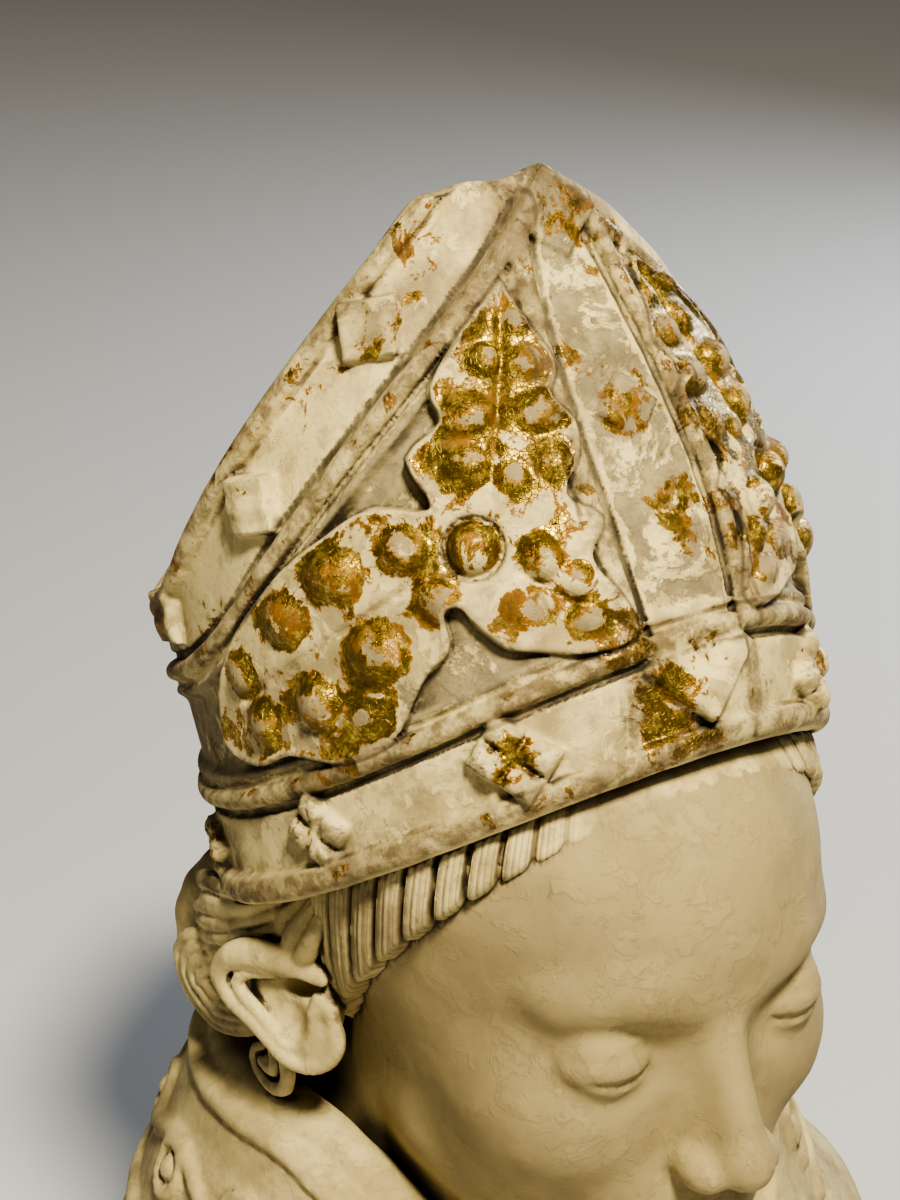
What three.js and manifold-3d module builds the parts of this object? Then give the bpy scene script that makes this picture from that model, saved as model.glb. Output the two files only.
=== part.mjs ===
// Limestone bust of a bishop in a mitre, carved from one block and cut flat below the shoulders.
// Millimetres, +Z up. The bust faces -Y, and +X is the figure's left. The origin is in the middle of the
// flat underside. The carving is one closed form, described by signed distances (negative inside the stone),
// turned into triangles on a grid, thinned where it is smooth, and sawn off flat at the underside.
import * as THREE from "three";
import { mergeVertices } from "three/addons/utils/BufferGeometryUtils.js";
import Module from "manifold-3d";

// Driving sizes
const GRID_STEP = 2.8;
const TRIANGLES = 9800;
const STONE_LOW = [-180, -165, -9];
const STONE_HIGH = [180, 150, 474];
const SAW_BOX = 600;

// The mitre stands on the head and leans back. Its own axes: x to the figure's left, f forwards, h upwards.
const MITRE_AT = [0, -15, 270];
const MITRE_LEAN = 27.3;
const SECTION_HEIGHTS = [0, 28, 75, 145];
const SECTION_HALF_WIDTHS = [84.5, 84, 83, 60];
const SECTION_HALF_DEPTHS = [102, 110, 108, 94];
const BACK_DEPTH_SHARE = 0.84;
const PLATE_THICKNESS = 16;
const CLEFT_FLOOR = { side: 58, rise: 14, sunk: 2 };
const CIRCLET = { height: 28.7, lowDip: 13.4, highDip: 16.7 };
const TITULUS = { lowHalf: 17.7, highHalf: 11.2, swell: 4.5 };
const INNER_GABLE = { at: 9, height: 142.5, rake: 1.17, floor: 50 };
const OUTER_GABLE = { at: 31, height: 160.5, rake: 1.28, floor: 73 };
const BACK_GABLE = { at: 0, height: 112, rake: 0.75, floor: 73 };
const GABLE_BEND = 16;
const TURNS = { hornsMeet: 105, frontCordsEnd: 125, backCordStarts: 118 };
const RELIEF_REACH = 14;
const CORD_RADII = { low: 4.4, high: 3.6, field: 3.4, edge: 3.8 };
const BROKEN_TOP = 156.5;
const BROKEN_SLOPE = 0.6;
const BROKEN_CURVE = 0.0022;
const FIELD_SUNK = 2.4;
const LEAF_LIFT = 2.8;
const ARC_PER_DEGREE = 1.62;

// The head bows a little. Its own axes start midway between the ears: x left, y back, z up.
const HEAD_AT = [0, -31, 226];
const HEAD_BOW = 5.5;
const HEAD_SIZE = 0.955;

// The dress: a collar round the neck, with a rim that falls to a point in front.
const RIM_HEIGHT = 176;
const RIM_DROP = 74;
const COLLAR_FOOT = 92;
const COLLAR_DIP = 24;
const NECK_AXIS_Y = 2;

const { abs, min, max, sin, cos, exp, sqrt, floor, ceil, atan2, PI } = Math;
const radians = (degrees) => degrees * PI / 180;
const degrees = (angle) => angle * 180 / PI;
const span = (x, y, z = 0) => sqrt(x * x + y * y + z * z);
const hill = (d, width) => exp(-((d / width) ** 2));
const clamp = (v, low, high) => min(max(v, low), high);
const ease = (v, from, to) => {
  const t = clamp((v - from) / (to - from), 0, 1);
  return t * t * (3 - 2 * t);
};

// Soft union, soft subtraction and soft intersection of two distances, blended over k millimetres
const join = (a, b, k) => {
  const h = max(k - abs(a - b), 0);
  return min(a, b) - h * h / (4 * k);
};
const meet = (a, b, k) => -join(-a, -b, k);
const cut = (a, b, k) => -join(-a, b, k);

const ball = (p, c, r) => span(p[0] - c[0], p[1] - c[1], p[2] - c[2]) - r;
const ellipsoid = (p, c, r) => {
  const x = (p[0] - c[0]) / r[0], y = (p[1] - c[1]) / r[1], z = (p[2] - c[2]) / r[2];
  const k = span(x, y, z);
  return k * (k - 1) / max(span(x / r[0], y / r[1], z / r[2]), 1e-6);
};
const rod = (p, a, b, ra, rb = ra) => {
  const dx = b[0] - a[0], dy = b[1] - a[1], dz = b[2] - a[2];
  const x = p[0] - a[0], y = p[1] - a[1], z = p[2] - a[2];
  const t = clamp((x * dx + y * dy + z * dz) / (dx * dx + dy * dy + dz * dz), 0, 1);
  return span(x - t * dx, y - t * dy, z - t * dz) - (ra + (rb - ra) * t);
};
// A row of rods through points [x, y, z, radius]
const chain = (p, points) => {
  let d = Infinity;
  for (let i = 1; i < points.length; i++) {
    d = min(d, rod(p, points[i - 1], points[i], points[i - 1][3], points[i][3]));
  }
  return d;
};
// A smooth run of points through the given ones (Catmull-Rom)
const curve = (points, steps) => {
  const last = points.length - 1;
  const beyond = (end, next) => end.map((v, i) => 2 * v - next[i]);
  const padded = [beyond(points[0], points[1]), ...points, beyond(points[last], points[last - 1])];
  const run = [];
  for (let i = 0; i < last; i++) {
    const [a, b, c, d] = padded.slice(i, i + 4);
    for (let step = 0; step < steps; step++) {
      const t = step / steps;
      run.push(b.map((v, n) => {
        const bend = 2 * a[n] - 5 * v + 4 * c[n] - d[n] + t * (3 * (v - c[n]) + d[n] - a[n]);
        return v + 0.5 * t * (c[n] - a[n] + t * bend);
      }));
    }
  }
  return [...run, points[last]];
};
// Distance outwards from an upright oval tube
const oval = (x, y, a, b) => span(x, y) * (1 - 1 / max(span(x / a, y / b), 1e-4));

const leanSin = sin(radians(MITRE_LEAN)), leanCos = cos(radians(MITRE_LEAN));
const toMitre = ([x, y, z]) => {
  const dy = y - MITRE_AT[1], dz = z - MITRE_AT[2];
  return [x, -dy * leanCos + dz * leanSin, dy * leanSin + dz * leanCos];
};
const bowSin = sin(radians(HEAD_BOW)), bowCos = cos(radians(HEAD_BOW));
const toHead = ([x, y, z]) => {
  const dy = y - HEAD_AT[1], dz = z - HEAD_AT[2];
  return [x, dy * bowCos + dz * bowSin, -dy * bowSin + dz * bowCos];
};

// Mitre
// A smooth curve through the sizes of the four sections
const section = (h, sizes) => {
  const z = clamp(h, -25, 175);
  let size = 0;
  for (let i = 0; i < SECTION_HEIGHTS.length; i++) {
    let weight = sizes[i];
    for (let j = 0; j < SECTION_HEIGHTS.length; j++) {
      if (j !== i) weight *= (z - SECTION_HEIGHTS[j]) / (SECTION_HEIGHTS[i] - SECTION_HEIGHTS[j]);
    }
    size += weight;
  }
  return size;
};
const halfWidth = (h) => section(h, SECTION_HALF_WIDTHS);
const halfDepth = (h, f) => section(h, SECTION_HALF_DEPTHS) * (f < 0 ? BACK_DEPTH_SHARE : 1);

// A raking line drawn on the unrolled mitre, straight from the middle and level at the side: height and slope
const raking = (turn, line) => {
  const straight = line.height - line.rake * (turn - line.at);
  const share = clamp(0.5 + (straight - line.floor) / (2 * GABLE_BEND), 0, 1);
  return [-join(-straight, -line.floor, GABLE_BEND), line.rake * share];
};
// The broken rim at the top of the front horn, lower towards the figure's left
const brokenTop = (x, f) => {
  const waves = 1.1 * sin(x * 0.13 + f * 0.06 + 0.6) + 0.6 * sin(x * 0.29 + 0.2 * f + 2);
  return BROKEN_TOP - BROKEN_SLOPE * max(x - 3, 0) - BROKEN_CURVE * max(-x - 8, 0) ** 2 + waves;
};

// The coordinates that the mitre's mouldings share
const mitreFace = (x, f, h) => {
  const a = halfWidth(h), b = halfDepth(h, f);
  const u = abs(x) / a, v = f / b, q = max(span(u, v), 1e-4);
  const turn = degrees(atan2(u, v));
  const perDegree = max(radians(span(a * v, b * u) / q), 0.5);
  const wave = ((v * v - u * u) / (q * q) - 1) / 2;
  const low = CIRCLET.lowDip * wave, high = CIRCLET.height + CIRCLET.highDip * wave;
  const [inner, innerSlope] = raking(turn, INNER_GABLE);
  const [outer, outerSlope] = raking(turn, OUTER_GABLE);
  const [back, backSlope] = raking(180 - turn, BACK_GABLE);
  const grow = (h - CIRCLET.height) / (INNER_GABLE.height - CIRCLET.height);
  const straight = TITULUS.lowHalf + (TITULUS.highHalf - TITULUS.lowHalf) * grow;
  const half = straight + TITULUS.swell * 4 * max(grow * (1 - grow), 0);
  const pastInner = (h - inner) / span(1, innerSlope / perDegree);
  return {
    x, f, h, a, b, u, turn, low, high, outer, back, half, pastInner,
    out: span(x, f) * (1 - 1 / q),
    pastOuter: (h - outer) / span(1, outerSlope / perDegree),
    pastBack: (h - back) / span(1, backSlope / perDegree),
    broken: brokenTop(x, f),
    inside: min(-pastInner, abs(x) - half, h - high),
  };
};

const mitreBody = (m) => {
  const { x, f, h, out, turn } = m;
  const top = join(turn < TURNS.hornsMeet ? m.outer : max(m.back, BACK_GABLE.floor - 1), m.broken, 5);
  const lining = oval(x, f, m.a - PLATE_THICKNESS, m.b - PLATE_THICKNESS - 6 - 0.06 * (150 - h));
  const crown = CLEFT_FLOOR.side + CLEFT_FLOOR.rise * (1 - m.u * m.u);
  const sunk = FIELD_SUNK * ease(m.inside, 7, 10);
  const plates = cut(meet(out + sunk, h - top, 3.5), lining, 5);
  const core = meet(out + CLEFT_FLOOR.sunk, h - crown, 6);
  let d = max(join(plates, core, 5), m.low - h);
  d = join(d, span(out - 0.2, h - m.low) - CORD_RADII.low, 1.2);
  d = join(d, span(out, h - m.high) - CORD_RADII.high, 1.2);
  if (f > 0) {
    const cord = span(out, abs(x) - m.half) - CORD_RADII.field;
    d = join(d, max(cord, m.high - h, m.pastInner - 1.5), 1.2);
  }
  if (turn < TURNS.frontCordsEnd) {
    if (abs(x) > m.half - 1.5) d = join(d, span(out, m.pastInner) - CORD_RADII.field, 1.2);
    d = join(d, max(span(out, m.pastOuter + 4) - CORD_RADII.edge, h - m.broken + 1.5), 1.2);
  }
  if (turn > TURNS.backCordStarts) d = join(d, span(out, m.pastBack + 4) - CORD_RADII.edge, 1.2);
  return d;
};

// A point on the mitre, by its turn in degrees from the front and its height
const onMitre = (turn, h) => {
  const f = cos(radians(turn));
  return [halfWidth(h) * sin(radians(turn)), halfDepth(h, f) * f, h];
};
// Upright plane touching the mitre at such a point: distance along it, up it and off it
const surfaceFrame = (turn, h) => {
  const c = onMitre(turn, h), a = halfWidth(h), b = halfDepth(h, c[1]);
  const nx = c[0] / (a * a), nf = c[1] / (b * b), n = span(nx, nf);
  return { c, n: [nx / n, nf / n] };
};
const inFrame = ({ c, n }, [x, f, h]) => {
  const dx = x - c[0], df = f - c[1];
  return [dx * n[1] - df * n[0], h - c[2], dx * n[0] + df * n[1]];
};

// Foliage in the triangular field. Its outline is in [turn, height]; a lobe is a rounded swelling of
// [turn, height, half-width, half-height, rise]; grooves and a ridge leave a ringed bud.
const LEAF_OUTLINE = [
  [17, 129], [26, 119], [34, 106], [33.5, 97], [40.5, 90], [38.5, 76], [48, 80], [56, 76.5], [66, 70], [76, 60],
  [82.5, 50], [87, 39.5], [88, 28], [81, 20.5], [73, 22], [64, 17.5], [54, 20], [49, 29], [46, 35], [41.5, 40],
  [41, 49], [38.5, 50], [36.5, 44], [33, 37], [28, 34], [22, 31], [15, 30], [11.5, 34], [13.5, 44], [16, 54],
  [12.5, 63], [17, 71], [13, 80], [11.5, 89], [14.5, 96], [11.5, 104], [13.5, 114], [17, 129],
];
const LOBES = [
  [24, 119, 4.2, 4.6, 2.8], [16, 117, 4.2, 4.6, 2.8], [23.5, 109.5, 5, 5, 4], [16.5, 106.5, 5, 5, 3.8],
  [29, 97, 8, 6, 5.4], [17, 93.5, 7.2, 6, 5], [31.5, 84.5, 6.2, 6.2, 4.8], [24.5, 78, 4.4, 4.6, 3.4],
  [17.5, 80.5, 5.5, 6.5, 3.8], [44.5, 67, 7.5, 6.2, 6], [57, 66, 9.5, 7.6, 6], [67.5, 57.5, 7.4, 7.6, 5],
  [41.5, 54, 6.4, 7.8, 6], [53, 43.5, 9.6, 8.2, 7], [65, 34.5, 7.8, 8, 6.2], [76.5, 31.5, 6.4, 7, 5],
  [79, 46, 6, 6.5, 4], [57, 27, 7, 5, 3], [24, 57.5, 5.2, 7, 6], [19.5, 49, 4.8, 5.4, 4.4],
  [28, 45.5, 8, 5.5, 3], [19.5, 39, 5.5, 4.6, 4], [33, 41, 4, 4, 2],
];
const BUD = [33.5, 63.5];
const COLLAR_RADIUS = 10.2;
const KNOB_RADIUS = 6.6;
const unrolled = ([turn, h]) => [turn * ARC_PER_DEGREE, h, 0, 0];
const GROOVES = [
  [[29, 75], [23, 98], [17.5, 124]],
  [[41, 60], [59.5, 50], [80, 39]],
  [[28, 55], [23, 47], [14, 36]],
].map((line) => line.map(unrolled));
const RIDGE = [[50, 57], [62, 49.5], [74, 43]].map(unrolled);
const leafOutline = curve(LEAF_OUTLINE, 3).map(unrolled);
const budFrame = surfaceFrame(...BUD);
// Length of one degree of turn on the mitre's face
const degreeLength = (turn, h) =>
  radians(span(halfWidth(h) * cos(radians(turn)), halfDepth(h, 1) * sin(radians(turn))));
const lobes = LOBES.map(([turn, h, across, up, rise]) => [turn, h, across / degreeLength(turn, h), up, rise]);

// Distance to a closed outline in a plane, negative inside
const outlineDistance = (x, y, points) => {
  let nearest = Infinity, inside = false;
  for (let i = 1; i < points.length; i++) {
    const [x0, y0] = points[i - 1], [x1, y1] = points[i];
    const dx = x1 - x0, dy = y1 - y0, qx = x - x0, qy = y - y0;
    const t = clamp((qx * dx + qy * dy) / (dx * dx + dy * dy), 0, 1);
    nearest = min(nearest, (qx - t * dx) ** 2 + (qy - t * dy) ** 2);
    if (y0 > y !== y1 > y && qx < dx * qy / dy) inside = !inside;
  }
  return sqrt(nearest) * (inside ? -1 : 1);
};

// How far the leaf stands off the mitre's face
const leafLift = (m) => {
  let lift = LEAF_LIFT;
  for (const [turn, h, across, up, rise] of lobes) {
    const swell = 1 - ((m.turn - turn) / across) ** 2 - ((m.h - h) / up) ** 2;
    if (swell > 0) lift = -join(-lift, 1 - LEAF_LIFT - rise * swell ** 0.8, 3);
  }
  const place = unrolled([m.turn, m.h]);
  for (const groove of GROOVES) lift -= 1.8 * hill(chain(place, groove), 2.6);
  return lift + 1.6 * hill(chain(place, RIDGE), 2.2);
};

const foliage = (d, p, m) => {
  const leaf = outlineDistance(m.turn * ARC_PER_DEGREE, m.h, leafOutline);
  if (leaf > RELIEF_REACH) return d;
  const [s, t, off] = inFrame(budFrame, p);
  const around = span(s, t);
  const ring = 1 - ease(around, COLLAR_RADIUS, COLLAR_RADIUS + 1.5);
  const moat = 2.4 * hill(around - KNOB_RADIUS - 0.8, 1.6);
  const lift = leafLift(m) * (1 - ring) + (LEAF_LIFT + 0.4) * ring - moat;
  const sheet = max(meet(leaf * 0.9, (m.out - lift) * 0.75, 1.2), -m.out - 9);
  return join(join(d, sheet, 0.8), span(around, off - 0.6) - KNOB_RADIUS, 0.8);
};

// Square studs stand on the bands, some as plain bosses and some cut as four-petalled flowers
const stud = (turn, h, halfSize, lift, spin, kind = "plain") =>
  ({ frame: surfaceFrame(turn, h), halfSize, lift, spinCos: cos(spin), spinSin: sin(spin), kind });
const STUDS = [
  stud(34.5, 9, [10.5, 8.5], 5, PI / 4, "petals"), stud(70.5, 0.5, [9, 7.5], 4.6, PI / 4, "petals"),
  stud(112, -2, [8, 7], 4.6, PI / 4, "petals"), stud(150, 0, [8, 7], 4.6, PI / 4, "petals"),
  stud(42.5, 125, [8.3, 8.3], 5.5, 0.12, "right only"), stud(69, 89, [8.3, 8.3], 5.5, 0.12),
  stud(102, 66, [8, 8], 4, 0.1), stud(0, 22, [12.5, 12.5], 3, PI / 4),
  stud(0, 89, [7, 7], 3, PI / 4), stud(0, 143, [9.5, 9.5], 3, PI / 4),
];
const studDistance = (one, p) => {
  const [s, t, off] = inFrame(one.frame, p);
  const u = abs(s * one.spinCos + t * one.spinSin), v = abs(t * one.spinCos - s * one.spinSin);
  const taper = max(off, 0) * 0.16;
  const du = u - one.halfSize[0] + taper, dv = v - one.halfSize[1] + taper;
  const side = span(max(du, 0), max(dv, 0)) + min(max(du, dv), 0);
  let top = one.lift;
  if (one.kind === "petals") {
    const quarter = span(u - one.halfSize[0] * 0.5, v - one.halfSize[1] * 0.5);
    top += 1.5 * hill(quarter, 4) - 1 - 2.2 * hill(min(u, v), 1.5) + 2 * hill(span(u, v), 2.4);
  }
  return max(meet(side, (off - top) * 0.8, 1.2), -off - one.lift);
};

const mitre = (point) => {
  const [x, f, h] = toMitre(point);
  const m = mitreFace(x, f, h);
  let d = mitreBody(m);
  if (abs(d) > RELIEF_REACH) return d;
  const p = [abs(x), f, h];
  d = foliage(d, p, m);
  for (const one of STUDS) {
    if (one.kind !== "right only" || x < 0) d = join(d, max(studDistance(one, p), h - m.broken), 0.8);
  }
  return d;
};

// Head
const skull = (p) => {
  const q = p.map((v) => v / HEAD_SIZE);
  let d = ellipsoid(q, [0, 2, 36], [73, 90, 83]);
  d = join(d, ellipsoid(q, [0, -36, 44], [56, 55, 48]), 16);
  return join(d, ellipsoid(q, [0, -37, -16], [59, 53, 70]), 18) * HEAD_SIZE;
};

const EYE = [31, -75.5, 12];
const LID_HINGE = [-6.5, -0.8];
const eyelid = (e, radius, tilt, side) => {
  const above = e[2] - LID_HINGE[1] - (LID_HINGE[0] - e[1]) * tilt;
  return meet(span(...e) - radius, -above * side, 1.2);
};

const face = (point) => {
  const bare = skull(point);
  if (bare > 60) return bare - 35;
  if (bare < -30) return bare;
  let d = bare / HEAD_SIZE;
  const p = point.map((v) => v / HEAD_SIZE);
  // cheeks, jaw, chin and the round of the mouth
  d = join(d, ellipsoid(p, [32, -59, -12], [26, 26, 24]), 18);
  d = join(d, rod(p, [42, -20, -44], [10, -70, -72], 15, 14), 20);
  d = join(d, ellipsoid(p, [0, -78, -77], [17, 17, 15]), 16);
  d = join(d, ellipsoid(p, [0, -72, -46], [29, 26, 27]), 16);
  // brow and eye sockets
  d = join(d, chain(p, [[8, -82, 29, 4], [24, -83, 36, 4.6], [43, -70, 32, 4]]), 14);
  d = cut(d, ellipsoid(p, [31, -98, 14], [18, 13, 9.5]), 10);
  // nose
  d = join(d, rod(p, [0, -80, 20], [0, -95, -16], 8, 10.5), 7);
  d = join(d, rod(p, [0, -84.5, 26], [0, -107, -13], 5.2, 6), 7);
  d = join(d, ball(p, [0, -108, -18], 7.8), 5);
  d = join(d, ellipsoid(p, [10, -99, -22], [6, 9.5, 6.2]), 4.5);
  d = join(d, rod(p, [0, -106, -25], [0, -97, -27], 3.8), 3);
  d = cut(d, ellipsoid(p, [5.4, -104, -28], [2.6, 5, 3.4]), 2);
  // mouth
  d = join(d, chain(p, [[0, -96.5, -43.5, 3.2], [9, -95, -44, 3.6], [21, -87, -47.5, 1.8]]), 5);
  d = join(d, chain(p, [[0, -95.5, -53, 4.4], [9, -93.5, -52.5, 3.8], [19, -87, -49.5, 2]]), 5);
  d = cut(d, ellipsoid(p, [0, -105, -63.5], [15, 9, 6]), 8);
  d = cut(d, chain(p, [[0, -101, -48.2, 1], [10, -99, -47.6, 1], [22, -91, -48.8, 0.9]]), 2.6);
  d = cut(d, rod(p, [0, -103, -31], [0, -102, -39], 2.2, 3), 4);
  // eyeball, half-lowered lids and the fold above them
  const e = EYE.map((v, i) => p[i] - v);
  const reach = span(...e);
  d = join(d, reach - 12.2, 1);
  d = join(d, eyelid(e, 14.2, 0.12, 1), 3);
  d = join(d, eyelid(e, 13.8, -0.62, -1), 3);
  const fold = span(reach - 15.2, e[2] - 6.6 + 0.012 * e[0] * e[0]) - 0.9;
  return cut(d, max(fold, e[1] + 4), 1.8) * HEAD_SIZE;
};

// Straight locks on the temples, cut off along a rising line
const LOCK_ANGLE = 7.2;
const HAIR_FOOT = -38;
const templeHair = (p) => {
  const [x, y, z] = p;
  const turn = degrees(atan2(x, -(y + 8)));
  const thick = 0.2 + 7 * ease(turn, 26, 76);
  const phase = (turn + 1 + 1.2 * sin(z * 0.06)) / LOCK_ANGLE;
  const groove = ease(abs(phase - floor(phase) - 0.5) * 2, 0.45, 1);
  const d = skull(p) - thick + min(0.8 * thick, 4) * groove ** 1.5;
  const fringe = (1.36 * (-y - 10.5) + 4.7 - z) * 0.59 + 2.5 * groove;
  return max(meet(d, fringe, 2), HAIR_FOOT - z);
};

// Ear. Its own axes: a back, b up along the leaning ear, c outwards
const EAR_AT = [81, -26, 220];
const EAR_LEAN = radians(24);
const EAR_FLARE = radians(24);
const EAR_SCALE = 0.84;
const EAR_RIM = [
  [-16, 9, -1, 3], [-12, 12.5, 0.5, 4.4], [-4, 16.5, 2, 5.4], [6, 20, 3, 5.6], [14, 20.5, 3.5, 5],
  [20.5, 18.5, 4, 4], [25, 13, 3.5, 3.4], [22, 4, 3, 3], [15.8, -3.2, 2.5, 2.8], [11, -10, 2, 2.8],
  [6, -17, 1, 3], [-1, -20.5, -0.5, 3.2], [-9, -19.5, -1.5, 3.4], [-14.5, -15, -2, 3.4], [-15.5, -8.5, -2.5, 3],
];
const EAR_FOLD = [
  [4, 12.5, 0, 2], [13, 14, 1.5, 2.4], [18.5, 10.5, 1.5, 2.6], [16.5, 5, 1.5, 2.5], [12.5, 0, 1, 2.4],
  [9, -6, 0.5, 2.3], [5.5, -11.5, 0, 2.3], [1, -15, -1, 2.2],
];
const EAR_TRAGUS = [[-12, 2, -2, 2.4], [-9.4, -3, -1, 2.6], [-8.6, -8.5, -1, 2.4]];
const ear = ([x, y, z]) => {
  const dx = abs(x) - EAR_AT[0], dy = y - EAR_AT[1], dz = z - EAR_AT[2];
  const back = dy * cos(EAR_LEAN) - dz * sin(EAR_LEAN);
  const up = dy * sin(EAR_LEAN) + dz * cos(EAR_LEAN);
  const a = back * cos(EAR_FLARE) + dx * sin(EAR_FLARE), c = dx * cos(EAR_FLARE) - back * sin(EAR_FLARE);
  const p = [a / EAR_SCALE, up / EAR_SCALE, c / EAR_SCALE];
  let d = join(ellipsoid(p, [3, 2, -7], [18, 19, 6.5]), ellipsoid(p, [-4.5, -12, -4], [12.5, 11.5, 6]), 4);
  d = join(d, ellipsoid(p, [0, 1, -13], [12, 19, 8]), 6);
  d = join(d, chain(p, EAR_RIM), 1.4);
  d = join(d, chain(p, EAR_FOLD), 1);
  d = cut(d, ellipsoid(p, [-6.5, 7, -2], [6.5, 4.8, 8]), 1.6);
  d = cut(d, ellipsoid(p, [0, -3, 4], [7.5, 9, 7]), 2.5);
  d = join(d, chain(p, EAR_TRAGUS), 1);
  return join(d, ball(p, [-15, -2.5, -1], 3.4), 0.8) * EAR_SCALE;
};

// Thick locks round the back of the nape, each curling at its end
const CURLS = 7;
const CURL_SWEEP = 46;
const CURL_CENTRE_Y = -15;
const CURL_PATH = [
  [-8, 70, 76, 228, 8], [-3, 84, 92, 217, 9.5], [-2, 90, 99, 204, 10], [3, 87, 96, 191, 9],
  [10, 82, 90, 183, 7.5],
];
const CURL_END = [11, 84, 92, 187, 8];
const curls = Array.from({ length: CURLS }, (_, i) => {
  const middle = -CURL_SWEEP + 2 * CURL_SWEEP * i / (CURLS - 1);
  const side = i < CURLS / 2 ? -1 : 1;
  const place = ([turn, a, b, h, r]) => {
    const w = radians(middle + side * turn);
    return [a * sin(w), CURL_CENTRE_Y + b * cos(w), h, r];
  };
  return { path: CURL_PATH.map(place), end: place(CURL_END) };
});

// Locks of several strands behind each ear, as points [x, y, z, half-width] on the figure's left side
const SIDE_LOCKS = [
  { count: 2, radius: 3.4, path: [[76, -24, 256, 2], [81, -14, 248, 2.5], [83, -5, 242, 3.5], [83, 4, 237.5, 4],
    [82, 13, 234.5, 4.5], [80, 21, 231, 5], [75, 30, 225, 5], [68, 38, 219, 4]] },
  { count: 3, radius: 3.3, path: [[74, -26, 249, 2], [80, -14, 241, 2.5], [83, -5, 236, 4], [84, 4, 231, 5.5],
    [83, 13, 227, 6], [81, 22, 222.5, 6], [76, 32, 216, 6], [69, 41, 209, 5]] },
  { count: 3, radius: 3.2, path: [[78, 15, 218, 3], [82, 25, 212, 5], [82, 31, 205, 6.5], [81, 28, 198.5, 6],
    [82, 19, 196, 4.5], [82, 8, 198, 3.5], [79, -4, 202, 2.5]] },
  { count: 2, radius: 2.7, path: [[74, -4, 201, 2], [79, -12, 200.5, 2.5], [80, -18, 197, 3],
    [80, -17, 190.5, 3], [80, -11, 188, 3], [81, -6, 191.5, 2.5], [80, -9, 195, 2]] },
];
const SIDE_LOCKS_ROUND = [[77, 8, 220], 62];
// Parallel strands lie side by side within the half-width of their lock
const strandsOf = ({ count, radius, path }) => Array.from({ length: count }, (_, i) => {
  const place = 2 * i / (count - 1) - 1;
  return path.map(([x, y, z, half], n) => {
    const before = path[max(n - 1, 0)], after = path[min(n + 1, path.length - 1)];
    const dy = after[1] - before[1], dz = after[2] - before[2], length = span(dy, dz);
    const aside = half * place / length;
    return [x - 0.7 * place * place, y + dz * aside, z - dy * aside, radius];
  });
});
const strands = SIDE_LOCKS.flatMap(strandsOf);

const nape = (p, mirrored) => {
  const ring = span(oval(p[0], p[1] - CURL_CENTRE_Y, 66, 84), (p[2] - 206) * 0.6) - 11;
  let d = max(ring, -(p[1] + 14));
  for (const { path, end } of curls) d = join(d, join(chain(p, path), ball(p, end, end[3]), 2), 2.2);
  if (ball(mirrored, ...SIDE_LOCKS_ROUND) > 0) return d;
  for (const strand of strands) d = join(d, chain(mirrored, strand), 1);
  return d;
};

const NECK = [[0, -25, 204], [0, 2, 90], 54, 60];

// Dress
const BODY_AT = [0, 6, 4];
const BODY = [156, 104, 122];
const FOLD_HEIGHTS = [92, 70, 45, 20, -9];
const FOLD_TURNS = [[40, 47], [64, 68], [90, 88], [117, 110], [148, 138]];
const FOLD_RADII = [6, 11];
const onBody = (turn, z, sunk) => {
  const k = sqrt(1 - ((z - BODY_AT[2]) / BODY[2]) ** 2);
  return [(BODY[0] * k - sunk) * sin(radians(turn)), BODY_AT[1] - (BODY[1] * k - sunk) * cos(radians(turn)), z];
};
const FOLDS = FOLD_TURNS.map(([high, low]) => FOLD_HEIGHTS.map((z, i) => {
  const t = i / (FOLD_HEIGHTS.length - 1);
  return [...onBody(high + (low - high) * t, z, 5), FOLD_RADII[0] + (FOLD_RADII[1] - FOLD_RADII[0]) * t];
}));
const shoulders = (p, mirrored) => {
  let d = ellipsoid(p, BODY_AT, BODY);
  d = join(d, rod(mirrored, [40, 8, 84], [112, 8, 40], 50, 44), 30);
  if (abs(d) > 30) return d;
  for (const fold of FOLDS) d = join(d, chain(mirrored, fold), 14);
  return d;
};

// Two flat bands down the front of the cope, with corded edges, and a shield-shaped hood on the back
const BAND_HALF = 17;
const bands = (d, cloth, [x, y, z]) => {
  if (y > 0) return d;
  const across = abs(x) - 33 - 0.06 * (90 - z);
  let e = join(d, meet(cloth - 3.2, abs(across) - BAND_HALF, 2), 1);
  for (const edge of [-15.5, 15.5]) e = join(e, span(cloth - 3, across - edge) - 2.6, 1);
  return e;
};
const hood = (d, cloth, [x, y, z]) => {
  if (y < 0) return d;
  const shield = span(max(abs(x) - 34, 0), max(48 - z, 0)) - 26;
  const e = join(d, meet(cloth - 4, shield, 3), 1.5);
  return join(e, span(cloth - 4, shield + 3) - 3, 1.5);
};

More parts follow.
